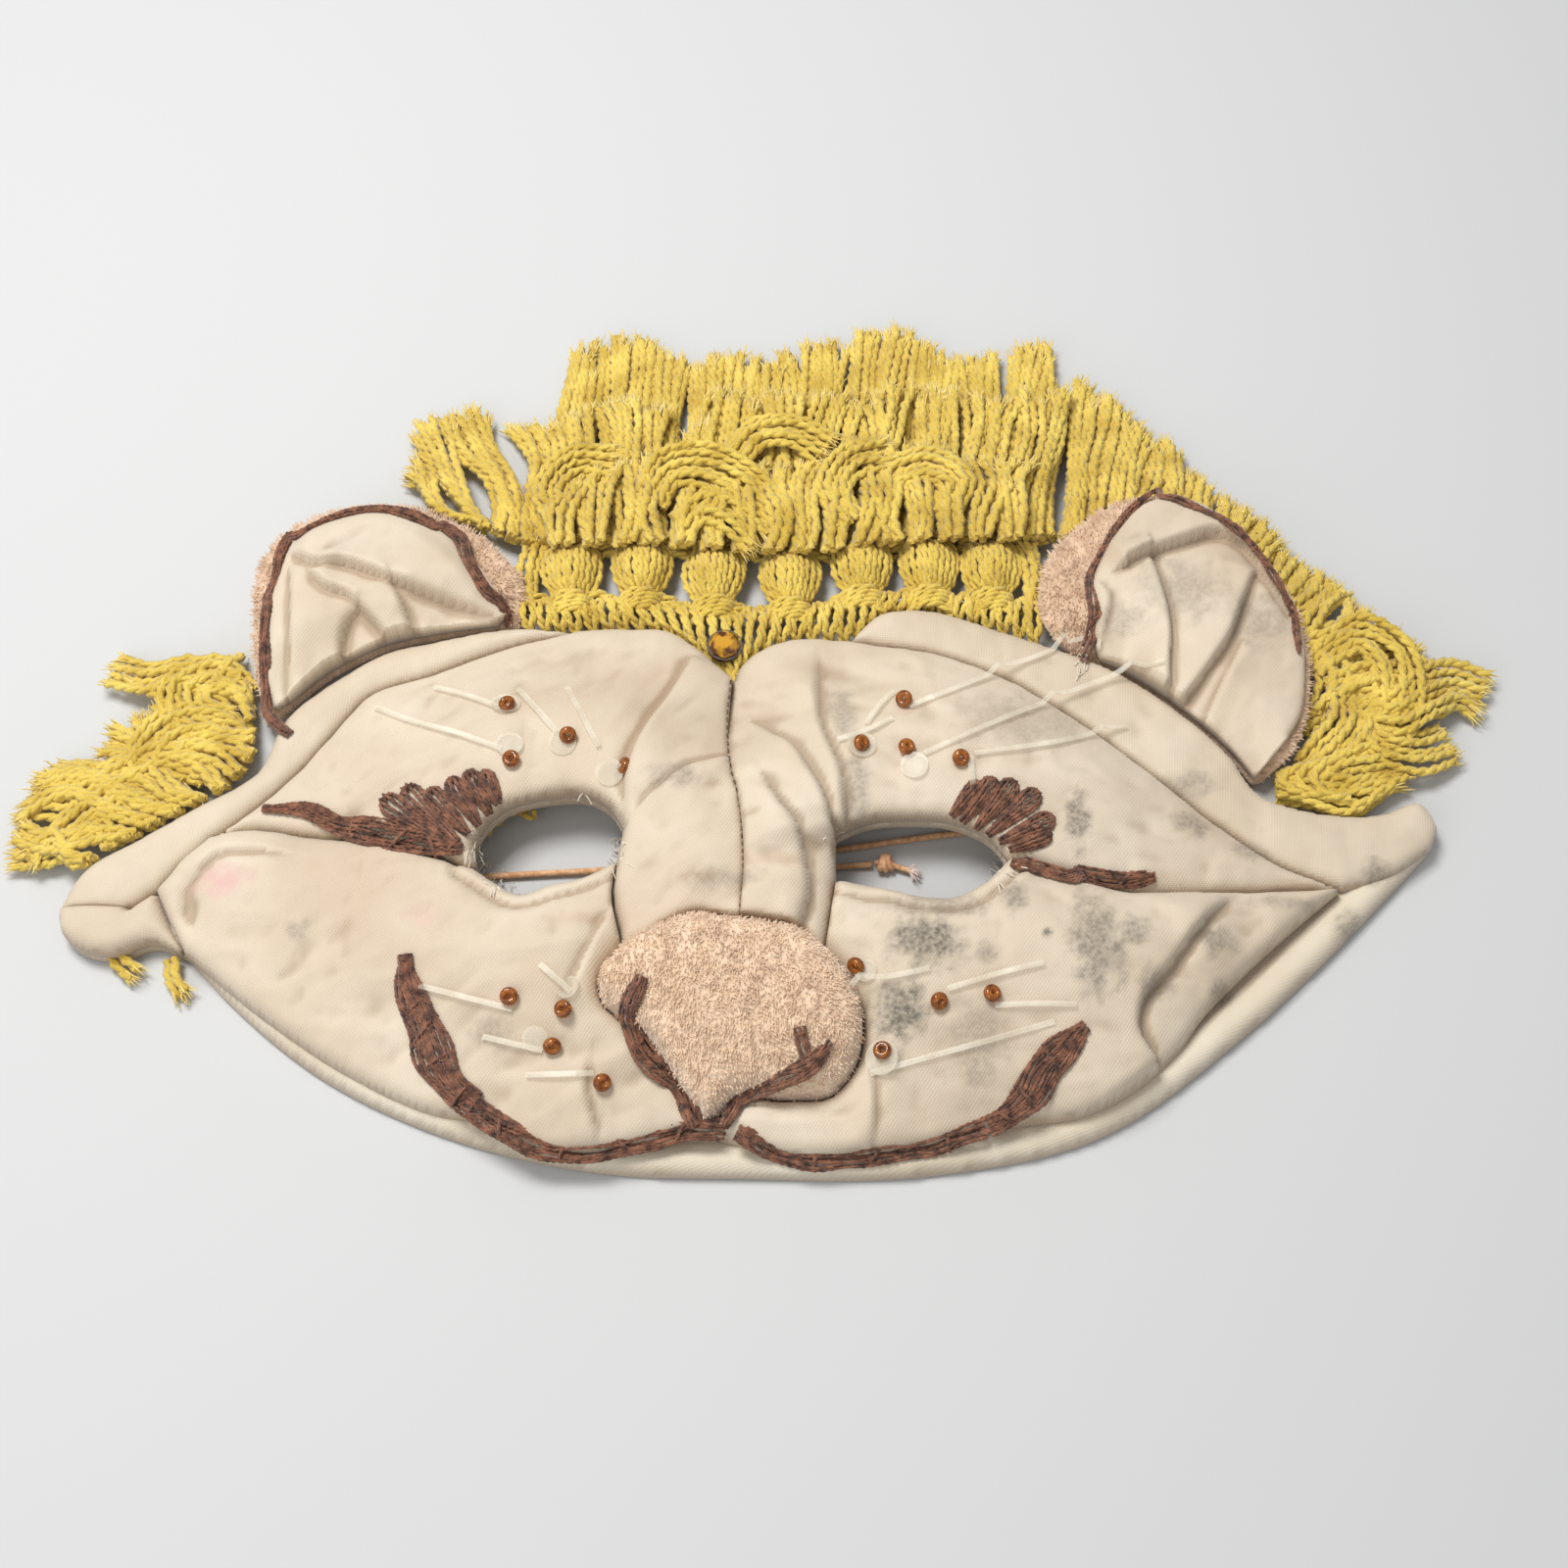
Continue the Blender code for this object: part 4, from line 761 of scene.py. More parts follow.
def wrinkles(spots, high, seed, turn):
    """Soft creases in cloth over wadding, longer one way than the other."""
    broad = noise_at(spots, 7.0, seed, (1.9, 0.8), turn)
    fine = noise_at(spots, 3.2, seed + 7.0, (2.2, 0.8), turn + 0.5)
    crests = 1.0 - np.abs(broad) * 2.4
    return high * (np.clip(crests, -0.6, 1.0) * 0.75 + 0.4 * fine)


def puckers(spots, lines, high, seed):
    """Small ripples where hand stitches draw the cloth in along a seam."""
    total = np.zeros(len(spots))
    for k, line in enumerate(lines):
        gap, _, share, _, _ = measure(spots, line)
        long = np.linalg.norm(np.diff(line, axis=0), axis=1).sum()
        wave = np.array([noise.noise((s * long / 2.6, seed + k * 3.7, 0.5)) for s in share])
        total += high * 1.6 * wave * np.exp(-gap / 2.6) * (1.0 - np.exp(-gap / 0.7))
    return total


def close_below(bm, floor_of):
    """Drop a sheet's edge to what it stands on and close it underneath."""
    rim = [e for e in bm.edges if e.is_boundary]
    dropped = bmesh.ops.extrude_edge_only(bm, edges=rim)["geom"]
    walls = [v for v in dropped if isinstance(v, bmesh.types.BMVert)]
    set_heights(walls, floor_of(np.array([(v.co.x, v.co.y) for v in walls])))
    loop = [e for e in dropped if isinstance(e, bmesh.types.BMEdge)]
    bmesh.ops.triangle_fill(bm, use_beauty=True, use_dissolve=False, edges=loop)


# Lumps and hollows of the wadding. Columns: pad, middle, half width, half height, rise
LUMPS = (
    ("face_left", (-32, 7), 9, 7, 1.3), ("face_left", (-46, 12), 12, 7, 0.7),
    ("face_left", (-60, 6), 11, 8, 0.8), ("face_left", (-72, -2), 10, 6, 0.6),
    ("face_left", (-17, -20), 7, 9, 0.6), ("face_left", (-14, 12), 6, 8, 0.7),
    ("face_right", (17, 14), 7, 8, 0.8), ("face_right", (2, 14), 5, 8, 0.8),
    ("face_right", (34, 6), 10, 7, 0.8), ("face_right", (52, -3), 11, 7, 0.7),
    ("face_right", (70, -14), 9, 5, 0.6), ("face_right", (-1, -22), 5, 9, 0.7),
    ("cheek_left", (-84, -23), 12, 7, 1.2), ("cheek_left", (-98, -27), 2.2, 4.2, -2.2),
    ("cheek_left", (-62, -36), 14, 9, 0.9), ("cheek_left", (-40, -38), 9, 8, 0.8),
    ("cheek_left", (-35, -58), 14, 5, 0.7), ("cheek_right", (22, -38), 9, 8, 0.9),
    ("cheek_right", (44, -37), 11, 8, 0.8), ("cheek_right", (30, -56), 13, 6, 0.8),
    ("cheek_right", (68, -31), 7, 6, 0.9), ("cheek_right", (14, -60), 5, 5, 0.5),
    ("cheek_right", (75, -29), 4, 5, -1.0),
)
NET_OF_TRIAL = 1.7
TRIAL_FRAMES = 26
TRIAL_SCALE = 0.01
EXTRA_CLOTH = 0.035
MOST_CREASE = 1.3
CREASES_AT = 50.0
CREASE_RAY_FROM = 90.0


def lumps_at(spots, pad):
    total = np.zeros(len(spots))
    for owner, (x, y), wide, high, rise in LUMPS:
        if owner == pad:
            u, v = (spots[:, 0] - x) / wide, (spots[:, 1] - y) / high
            total += rise * np.exp(-(u * u + v * v))
    return total


def settled_creases(outline, heights_of, seed):
    """Creases of cloth cut too large for its frame: a coarse net pinned round its edge is let
    swell and settle, and its creases are kept as a surface for looking heights up."""
    bm = cut_cloth(outline, NET_OF_TRIAL)
    spots = plan_of(bm)
    start = heights_of(spots) + 0.12 * noise_at(spots, 4.0, seed)
    set_heights(bm.verts, start)
    pinned = [v.index for v in bm.verts if v.is_boundary]
    mesh = bpy.data.meshes.new("settling")
    bm.to_mesh(mesh)
    mesh.transform(Matrix.Scale(TRIAL_SCALE, 4))
    cloth = bpy.data.objects.new("settling", mesh)
    bpy.context.scene.collection.objects.link(cloth)
    group = cloth.vertex_groups.new(name="edge")
    group.add(pinned, 1.0, "REPLACE")
    trial = cloth.modifiers.new("cloth", "CLOTH")
    trial.settings.quality = 8
    trial.settings.mass = 0.2
    trial.settings.tension_stiffness = 25.0
    trial.settings.compression_stiffness = 25.0
    trial.settings.shear_stiffness = 12.0
    trial.settings.bending_stiffness = 0.9
    trial.settings.air_damping = 3.0
    trial.settings.shrink_min = -EXTRA_CLOTH
    trial.settings.use_pressure = True
    trial.settings.uniform_pressure_force = 2.2
    trial.settings.vertex_group_mass = "edge"
    trial.settings.effector_weights.gravity = 0.0
    trial.point_cache.frame_start = 1
    trial.point_cache.frame_end = TRIAL_FRAMES
    for step in range(1, TRIAL_FRAMES + 1):
        bpy.context.scene.frame_set(step)
    settled = cloth.evaluated_get(bpy.context.evaluated_depsgraph_get())
    reached = np.array([v.co.z for v in settled.to_mesh().vertices]) / TRIAL_SCALE
    settled.to_mesh_clear()
    bpy.data.objects.remove(cloth)
    bpy.context.scene.frame_set(1)
    rise = reached - start
    fine = np.clip(rise - relax(bm, rise, BROAD_ROUNDS), -MOST_CREASE, MOST_CREASE)
    set_heights(bm.verts, relax(bm, fine, 1) + CREASES_AT)
    bmesh.ops.triangulate(bm, faces=bm.faces[:])
    found = BVHTree.FromBMesh(bm)
    bm.free()
    return found


# Columns: height of the free wrinkles, which way they run in radians
PAD_WRINKLES = {"face_left": (0.42, 0.5), "face_right": (0.46, -0.4), "cheek_left": (0.42, 0.25),
                "cheek_right": (0.48, -0.35), "brow_band_left": (0.2, 0.7),
                "brow_band_right": (0.22, -0.6), "side_tab_left": (0.2, 0.0)}
for pad_index, (pad, (names, flush_names, loft, finish, pucker)) in enumerate(PADS.items()):
    outline = boundary(names)
    pad_bm = cut_cloth(outline, FACE_NET)
    spots = plan_of(pad_bm)
    flush = [seam(n) for n in flush_names]
    rolled = [seam(n) for n in names if n not in flush_names]
    gap = distance(spots, rolled)
    heights = backing_top(spots) + SEAT
    heights += PAD_EDGE * (0.45 + 0.55 * roll(gap, SEAM_ROLL))
    heights += loft * (0.35 * roll(gap, SEAM_ROLL) + 0.65 * roll(gap, PAD_ROLL))
    if pad.startswith("face"):
        heights += ridge(spots)
    if flush:
        heights -= 0.8 * (1.0 - roll(distance(spots, flush), 1.5))
    high, turn = PAD_WRINKLES[pad]
    heights += fold_heights(spots, pad)
    inward = np.clip(gap / 4.0, 0.0, 1.0)
    heights += wrinkles(spots, high, 3.1 * pad_index, turn) * inward
    heights += puckers(spots, rolled + flush, pucker, 20.0 + pad_index)
    heights += lumps_at(spots, pad) * inward
    for lid in (n for n in names if n.startswith("eye_low")):
        lid_gap = distance(spots, [seam(lid)])
        lid_edge = 3.4 + 0.7 * noise_at(spots, 7.0, 40.0)
        heights -= 1.0 * np.exp(-((lid_gap - lid_edge) / 0.7) ** 2)
        heights += 0.5 * noise_at(spots, 4.5, 44.0) * np.exp(-((lid_gap - 1.6) / 1.2) ** 2)
    creases = settled_creases(
        outline, lambda s: lumps_at(s, pad) + loft * roll(distance(s, rolled), PAD_ROLL),
        3.0 * pad_index)
    near_seam = 0.35 + 0.65 * np.exp(-distance(spots, rolled + flush) / 7.0)
    for i, (x, y) in enumerate(spots):
        hit = creases.ray_cast(Vector((x, y, CREASE_RAY_FROM)), -UP)[0]
        if hit is not None:
            heights[i] += 0.9 * near_seam[i] * (hit.z - CREASES_AT)
    set_heights(pad_bm.verts, heights)
    mark_cloth(pad_bm, heights)
    close_below(pad_bm, lambda s: backing_top(s) + 0.3)
    pad_piece = link_piece(new_piece(f"{pad}_quilted", pad_bm), finish)
    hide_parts(pad)

# Nose: a pad of short plush with a pile that lies towards the chin, standing over the bridge
# and the cheeks. Thousands of short fibres make the pile.
NOSE_EDGE = 5.0
NOSE_LOFT = 5.6
PILE_LONG = 0.75
PILE_SUNK = 0.15
NAP = (0.1, -0.7)
SWIRL_SIZE = 5.0
NOSE_SEED = 21
RAY_FROM = 80.0
nose_line = boundary(("nose_top_left", "nose_top_right", "nose_low_right", "nose_low_left"))
nose_bm = cut_cloth(nose_line, FACE_NET)
spots = plan_of(nose_bm)
gap = distance(spots, [closed(nose_line)])
nose_heights = backing_top(spots) + SEAT + NOSE_EDGE * (0.5 + 0.5 * roll(gap, 1.8))
nose_heights += NOSE_LOFT * (0.3 * roll(gap, 2.0) + 0.7 * roll(gap, PAD_ROLL))
nose_heights += 0.35 * noise_at(spots, 6.0, 4.0) + 0.12 * noise_at(spots, 1.4, 8.0)
set_heights(nose_bm.verts, nose_heights)
close_below(nose_bm, lambda s: backing_top(s) + 0.3)
plush_finish = new_material("plush_nose", (0.74, 0.55, 0.40), 0.95, 0.6)
mottle(plush_finish, (0.60, 0.40, 0.26), (0.86, 0.65, 0.46), 2.2, 0.3, 0.62)
fibre_bump(plush_finish, 0.55, 0.9, 0.5)
pile_finish = new_material("plush_pile", (0.78, 0.60, 0.45), 0.9, 0.6)
mottle(pile_finish, (0.66, 0.45, 0.29), (0.94, 0.73, 0.52), 2.6, 0.3, 0.62)
nose_piece = link_piece(new_piece("nose_pad_plush", nose_bm), plush_finish)
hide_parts("nose_pad")


def top_of(names, x, y):
    """Height and upward direction of the highest of some pieces at a plan point."""
    best = None
    for name in names:
        hit, normal, _, _ = surfaces[name].ray_cast(Vector((x, y, RAY_FROM)), -UP)
        if hit is not None and (best is None or hit.z > best[0]):
            best = (hit.z, normal if normal.z > 0 else -normal)
    return best


def sown(loop, per_mm, pick):
    """Random plan spots inside a loop, about `per_mm` on each square millimetre."""
    low, high = loop.min(0), loop.max(0)
    spots = np.array([(pick.uniform(low[0], high[0]), pick.uniform(low[1], high[1]))
                      for _ in range(int((high - low).prod() * per_mm))])
    return spots[inside(spots, loop)]


def rooted(carrier, spots):
    """Which of some spots a plush piece carries, each with its root in the plush and up."""
    for i, (x, y) in enumerate(spots):
        found = top_of((carrier,), x, y)
        if found is not None:
            z, up = found
            yield i, Vector((x, y, z)) - up * PILE_SUNK, up


pick = random.Random(NOSE_SEED)
nose_pile = new_thread("nose_pile", 0.24, 4)
spots = sown(nose_line, 7.2, pick)
for i, root, up in rooted("nose_pad_plush", spots):
    swirl = noise.noise((*spots[i] / SWIRL_SIZE, NOSE_SEED)) * 1.4
    lean = Vector((NAP[0] + 0.8 * swirl + pick.gauss(0, 0.3), NAP[1] + pick.gauss(0, 0.3), 0.0))
    tip = (up + lean * 0.75).normalized() * PILE_LONG * pick.uniform(0.7, 1.15)
    middle = root + up * PILE_LONG * 0.3 + tip * 0.25
    add_spline(nose_pile, [root, middle, root + tip], [1.0, 0.85, 0.3])
link_piece(bpy.data.objects.new("nose_pile", nose_pile), pile_finish)

# Ears: a folded piece of plush whose edge shows round the outside, with a pleated sateen
# front laid on it. They lie back over the strip of the mane, sewn in behind the bands.
PLUSH_THICK = 2.2
EAR_CLOTH_THICK = 1.3
EAR_SEAT = 0.8
EAR_BASE_Z = 1.2
EAR_LIFT = 3.3
EAR_STEP = 1.2
# Outlines in plan points, and how far from the edge the front's folds reach their full height
EARS = {
    "left": {
        "edge_reach": 5.0,
        "back": ((-89.8, 10), (-92, 18), (-93.5, 28.5), (-94, 36.5), (-92, 45), (-85, 51.5),
                 (-76, 53.5), (-67.5, 53), (-57, 48.5), (-50, 42.5), (-46, 36), (-46, 31.8)),
        "front": ((-88.3, 12), (-89.8, 18), (-91, 27), (-89.5, 36), (-87, 45), (-77, 51),
                  (-68.5, 51), (-62, 47), (-55.5, 41), (-50.5, 34), (-48.7, 31)),
        "base": ((-47, 29.6), (-61.5, 27.4), (-70, 25.2), (-78.5, 20.4), (-88, 11.4)),
    },
    "right": {
        "edge_reach": 0.5,
        "back": ((52.3, 23.5), (48.3, 25.8), (45.5, 30), (45.5, 37), (47.5, 43), (52, 48),
                 (60, 53.5), (69, 55), (78.5, 50), (88, 37), (91, 29.5), (91.5, 17), (89.5, 8),
                 (86.5, 3), (82, -0.6)),
        "front": ((54.5, 24.5), (53.8, 29), (54.2, 35), (56.5, 41), (60, 46.5), (64.5, 51.5),
                  (69, 53), (78, 48), (86.5, 36), (89.8, 29), (90, 16.5), (88.2, 8.5), (86, 5)),
        "base": ((80.3, -1.1), (76.6, 4.5), (69, 12.5), (58.6, 20.4), (53, 23.2)),
    },
}
ear_plush = new_material("plush_ear", (0.66, 0.47, 0.28), 0.95, 0.6)
mottle(ear_plush, (0.55, 0.36, 0.22), (0.80, 0.58, 0.40), 2.4, 0.3, 0.65)
fibre_bump(ear_plush, 0.55, 0.9, 0.5)
ear_pile = new_material("plush_ear_pile", (0.70, 0.52, 0.34), 0.9, 0.6)
mottle(ear_pile, (0.68, 0.45, 0.28), (0.92, 0.70, 0.50), 2.4, 0.3, 0.65)


def ear_floor(side, spots):
    """Underside of an ear: tucked low at its base, lifted over the mane's strip behind it."""
    away = measure(spots, flat_line(EARS[side]["base"], 3.0))[0]
    lift = EAR_BASE_Z + EAR_LIFT * ease(away / 9.0)
    droop = 2.2 * ease((away - 24.0) / 10.0) if side == "left" else 0.0
    return lift - droop


for side, shape in EARS.items():
    back_line, front_line, base_line = (flat_line(shape[part], EAR_STEP)
                                        for part in ("back", "front", "base"))
    back_loop = anticlockwise(np.vstack((back_line, base_line)))
    ends = front_line[[0, -1]]
    clear = np.linalg.norm(base_line[:, None] - ends, axis=2).min(1) > 2.5
    between = ((base_line[:, 0] > ends[:, 0].min() - 1.0)
               & (base_line[:, 0] < ends[:, 0].max() + 1.0))
    front_loop = anticlockwise(np.vstack((front_line, base_line[clear & between])))
    back_bm = cut_cloth(back_loop, FACE_NET * 1.3)
    spots = plan_of(back_bm)
    gap = distance(spots, [closed(back_loop)])
    heights = ear_floor(side, spots) + PLUSH_THICK * (0.35 + 0.65 * roll(gap, 1.6))
    heights += 0.12 * noise_at(spots, 2.0, 3.0)
    set_heights(back_bm.verts, heights)
    close_below(back_bm, lambda s: ear_floor(side, s))
    back_piece = link_piece(new_piece(f"ear_{side}_plush", back_bm), ear_plush)
    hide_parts(f"ear_{side}_back")
    pick = random.Random(31)
    pile = new_thread(f"ear_{side}_pile", 0.26, 4)
    spots = sown(back_loop, 4.6, pick)
    spots = spots[~inside(spots, front_loop)]
    outward = measure(spots, closed(back_loop))[4] - spots
    for i, root, up in rooted(f"ear_{side}_plush", spots):
        away = Vector((*outward[i], 0.0))
        lean = away.normalized() * 0.6 if away.length > 1e-3 else Vector((0.0, 0.0, 0.0))
        lean += Vector((pick.gauss(0, 0.35), pick.gauss(0, 0.35), 0.0))
        tip = (up + lean).normalized() * pick.uniform(0.7, 1.2)
        add_spline(pile, [root, root + tip * 0.55, root + tip], [1.0, 0.8, 0.3])
    link_piece(bpy.data.objects.new(f"ear_{side}_pile", pile), ear_pile)
    front_bm = cut_cloth(front_loop, FACE_NET * 0.75)
    spots = plan_of(front_bm)
    gap = distance(spots, [front_line])
    heights = ear_floor(side, spots) + PLUSH_THICK + EAR_SEAT
    heights += EAR_CLOTH_THICK * (0.25 + 0.75 * roll(gap, 1.4)) + 0.6 * roll(gap, 4.0)
    heights += fold_heights(spots, f"ear_{side}_front") * ease(gap / shape["edge_reach"])
    heights += wrinkles(spots, 0.34, 12.0 + len(side), 0.9) * np.clip(gap / 3.0, 0.0, 1.0)
    set_heights(front_bm.verts, heights)
    mark_cloth(front_bm, heights)
    close_below(front_bm, lambda s: ear_floor(side, s) + PLUSH_THICK + 0.25)
    front_piece = link_piece(new_piece(f"ear_{side}_sateen", front_bm), face_cloth)
    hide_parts(f"ear_{side}_front")

# Mane: a knotted strip of thick mustard yarn, with puffed stitches between open gaps, from
# which tiers of cut strands fan out. Each strand is two plies twisted together, and its cut
# end has opened like a brush.
YARN_THICK = 1.95
PLY_THICK = YARN_THICK * 0.65
PLY_OFFSET = 0.21
TWIST_LONG = 4.6
TIP_HAIRS = 9
TIP_HAIR_THICK = 0.34
yarn_gold = new_material("yarn_mustard", (0.66, 0.47, 0.10), 0.9, 0.35)
mottle(yarn_gold, (0.56, 0.365, 0.035), (0.86, 0.65, 0.125), 6.0, 0.3, 0.7)
fibre_bump(yarn_gold, 0.45, 0.9, 0.35)
yarn_pale = new_material("yarn_mustard_tips", (0.84, 0.66, 0.24), 0.9, 0.5)
mottle(yarn_pale, (0.70, 0.49, 0.08), (0.92, 0.74, 0.24), 3.0, 0.3, 0.7)


def twist(curve, points, thick, twist_long=TWIST_LONG, start_turn=0.0, step=1.3):
    """Lay one strand of yarn along points: its two plies wind round each other."""
    line = smooth_line(points, step)
    travelled = 0.0
    offset = thick * PLY_OFFSET
    plies = [[], []]
    for i, spot in enumerate(line):
        ahead = heading(line, i)
        if ahead.length < 1e-6:
            continue
        ahead.normalize()
        side = ahead.cross(UP)
        side = side.normalized() if side.length > 1e-3 else Vector((1.0, 0.0, 0.0))
        up = side.cross(ahead)
        if i:
            travelled += (spot - line[i - 1]).length
        for k, ply in enumerate(plies):
            angle = start_turn + math.tau * (travelled / twist_long + k / 2)
            ply.append(spot + side * (offset * math.cos(angle)) + up * (offset * math.sin(angle)))
    for ply in plies:
        add_spline(curve, ply)


def as_mesh(curve):
    """A curve of threads made into one smooth mesh, as a piece of the curve's name."""
    drawn = bpy.data.objects.new("drawn", curve)
    bpy.context.scene.collection.objects.link(drawn)
    settled = drawn.evaluated_get(bpy.context.evaluated_depsgraph_get())
    mesh = bpy.data.meshes.new_from_object(settled)
    bpy.data.objects.remove(drawn)
    mesh.name = curve.name
    mesh.materials.clear()
    mesh.shade_smooth()
    return bpy.data.objects.new(curve.name, mesh)


def frayed_tip(curve, strand, pick):
    """The soft, opened end of a cut strand."""
    end = strand[-1]
    ahead = (end - strand[-2]).normalized()
    across = ahead.cross(UP).normalized()
    for _ in range(TIP_HAIRS):
        turn = pick.uniform(0, math.tau)
        out = math.sqrt(pick.random())
        aside = across * (math.cos(turn) * out) + UP * (0.7 * math.sin(turn) * out)
        far = end + ahead * pick.uniform(0.5, 2.1) + aside * YARN_THICK * pick.uniform(0.6, 1.15)
        back = end - ahead * 1.6 + aside * YARN_THICK * 0.35
        middle = end + aside * YARN_THICK * 0.5
        for spot in (far, back, middle):
            spot.z = max(spot.z, 0.25)
        add_spline(curve, [back, middle, far], [1.0, 1.0, 0.3])


def along_line(line, t):
    """The point at the fraction t of a line's own length."""
    spans = [(b - a).length for a, b in zip(line, line[1:])]
    left = min(max(t, 0.0), 1.0) * sum(spans)
    for a, b, span in zip(line, line[1:], spans):
        if left <= span:
            return a.lerp(b, left / max(span, 1e-9))
        left -= span
    return line[-1].copy()


# Fringe tiers. Columns: tufts, strands in a tuft, height of the roots, of the middle and of
# the tips, root line, tip line, how far a tuft sways sideways, how ragged its length is
FRINGES = {
    "fringe_crown_outer": (22, 8, 1.6, 2.6, 1.5, ((-44, 46.2), (-10, 46.6), (20, 47.0), (48, 47.2)),
                           ((-40, 92), (-33, 96.5), (-22, 91), (0, 92), (22, 95.5), (34, 91),
                            (51, 93.5)), 1.5, 0.11),
    "fringe_crown_middle": (20, 6, 4.0, 6.0, 5.0,
                            ((-43, 46.2), (-10, 46.4), (20, 47.0), (47, 47.0)), ((-43, 73),
                                                                                 (-20, 79), (0, 78),
                                                                                 (22, 80), (40, 79),
                                                                                 (53, 79)), 2.2,
                            0.16),
    "fringe_crown_top": (16, 6, 6.4, 9.2, 7.6, ((-42, 43.5), (-25, 44.2), (-10, 43), (5, 42.5),
                                                (20, 44.5), (43, 45)), ((-42, 58), (-22, 63),
                                                                        (-4, 61), (16, 66),
                                                                        (32, 64), (48, 62)), 3.0,
                         0.24),
    "fringe_ear_left": (6, 8, 2.6, 3.6, 1.6,
                        ((-58.5, 52.0), (-51, 48.2), (-46, 46.4), (-41.5, 46.7)),
                        ((-71, 63), (-66, 76), (-58, 79), (-49, 75), (-40, 76)), 4.4, 0.2),
    "fringe_left": (13, 6, 2.6, 3.8, 1.6, ((-95.5, 21), (-92.8, 12), (-91.2, 4), (-94.5, -1.8),
                                           (-101, -6), (-110, -11.8), (-118, -17)), ((-97, 26),
                                                                                     (-106, 21),
                                                                                     (-119, 18),
                                                                                     (-125, 6),
                                                                                     (-133, -1),
                                                                                     (-134, -10),
                                                                                     (-126, -19)),
                    6.5, 0.3),
    "fringe_right": (26, 7, 2.2, 3.4, 1.6, ((43.8, 48.6), (60.2, 45.4), (75, 37.6), (89.2, 24.4),
                                            (100.2, 9.8)), ((48.5, 91), (62, 79), (73, 68.5),
                                                            (86, 53), (96, 42), (110, 28),
                                                            (121.5, 13)), 2.6, 0.13),
}
for tier, (name, (tufts, per_tuft, root_z, crest_z, tip_z, root_points, tip_points, sway,
                  ragged)) in enumerate(FRINGES.items()):
    pick = random.Random(100 + tier)
    root_line = smooth_line([(*p, 0.0) for p in root_points], 2.0)
    tip_line = smooth_line([(*p, 0.0) for p in tip_points], 2.0)
    strands = new_thread(f"{name}_strands", PLY_THICK, 4)
    tips = new_thread(f"{name}_frayed_tips", TIP_HAIR_THICK, 4)
    for tuft in range(tufts):
        middle = (tuft + 0.5) / tufts
        root = along_line(root_line, middle)
        reach = 1.0 - abs(pick.gauss(0, 0.55)) * ragged
        lean = pick.gauss(0, 0.22) * (1.0 + 3.0 * ragged) / tufts
        tuft_sway = pick.choice((-1, 1)) * pick.uniform(0.35, 1.0) * sway
        second = pick.choice((-1, 1)) * pick.uniform(0.2, 0.8) * sway
        for k in range(per_tuft):
            share = (k + 0.5) / per_tuft - 0.5
            start = root.lerp(along_line(root_line, middle + share / tufts), 0.65)
            end = along_line(tip_line, middle + lean + share / tufts * pick.uniform(1.0, 1.7)
                             + pick.gauss(0, 0.05) / tufts)
            end = start.lerp(end, reach * (1.0 - abs(pick.gauss(0, 0.4)) * 0.13))
            run = end - start
            sideways = run.normalized().cross(UP)
            lifted = (k % 3) * YARN_THICK * 0.45 + pick.uniform(0.0, 0.6)
            own = pick.gauss(0, 0.35) * (1.0 + 0.25 * sway)
            points = []
            for t, rise in ((0.0, root_z), (0.2, (root_z + crest_z) / 2), (0.42, crest_z),
                            (0.66, crest_z * 0.6 + tip_z * 0.4),
                            (0.85, tip_z * 0.8 + crest_z * 0.2), (1.0, tip_z)):
                bend = ((tuft_sway + own) * math.sin(math.pi * t) * 0.55
                        + second * math.sin(math.tau * t) * 0.4 + pick.gauss(0, 0.22))
                spot = start + run * t + sideways * bend
                spot.z = max(rise + lifted * (1.0 - 0.35 * t), YARN_THICK / 2 + 0.05)
                points.append(spot)
            twist(strands, points, YARN_THICK, start_turn=pick.uniform(0, math.tau), step=1.35)
            frayed_tip(tips, points, pick)
    fringe_piece = link_piece(as_mesh(strands), yarn_gold)
    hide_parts(name)
    link_piece(as_mesh(tips), yarn_pale)

# Strip of the mane: puffed stitches between a row of posts below and a chain of loops above.
# The puffs are gathered strands that bulge and close again to a knot of short rows.
# Columns: middle of each puff
BOBBLES = ((-38, 40), (-25.5, 40.5), (-12.5, 39), (1, 38.5), (14, 41), (26, 41), (37, 40.5))
PUFF_THICK = 1.6
ROW_THICK = 2.1
POSTS = 36
pick = random.Random(7)
strip_curve = new_thread("mane_strip_stitches", PUFF_THICK * 0.62, 4)
for bx, by in BOBBLES:
    for k in range(11):
        across = (k / 10 - 0.5) * 2.0
        bulge = math.cos(across * math.pi / 2 * 0.92)
        points = [(bx + across * 3.2, by + 6.4, 3.4),
                  (bx + across * 4.9, by + 3.0, 3.2 + 3.6 * bulge),
                  (bx + across * 4.9, by - 0.4, 3.2 + 4.0 * bulge),
                  (bx + across * 3.2, by - 3.9, 3.0 + 2.2 * bulge),
                  (bx + across * 1.2, by - 5.6, 2.8)]
        points = [Vector(p) + Vector((pick.gauss(0, 0.15), pick.gauss(0, 0.2), 0.0))
                  for p in points]
        twist(strip_curve, points, PUFF_THICK, start_turn=pick.uniform(0, math.tau), step=1.2)
    for k in range(4):
        low_y, crest = by - k * 0.9, 5.4 - 0.25 * k
        points = [(bx - 4.0, low_y - 5.9, 3.0), (bx - 1.4, low_y - 4.9, crest),
                  (bx + 1.6, low_y - 5.0, crest), (bx + 4.0, low_y - 6.4, 3.0)]
        twist(strip_curve, points, ROW_THICK, start_turn=k, step=1.0)
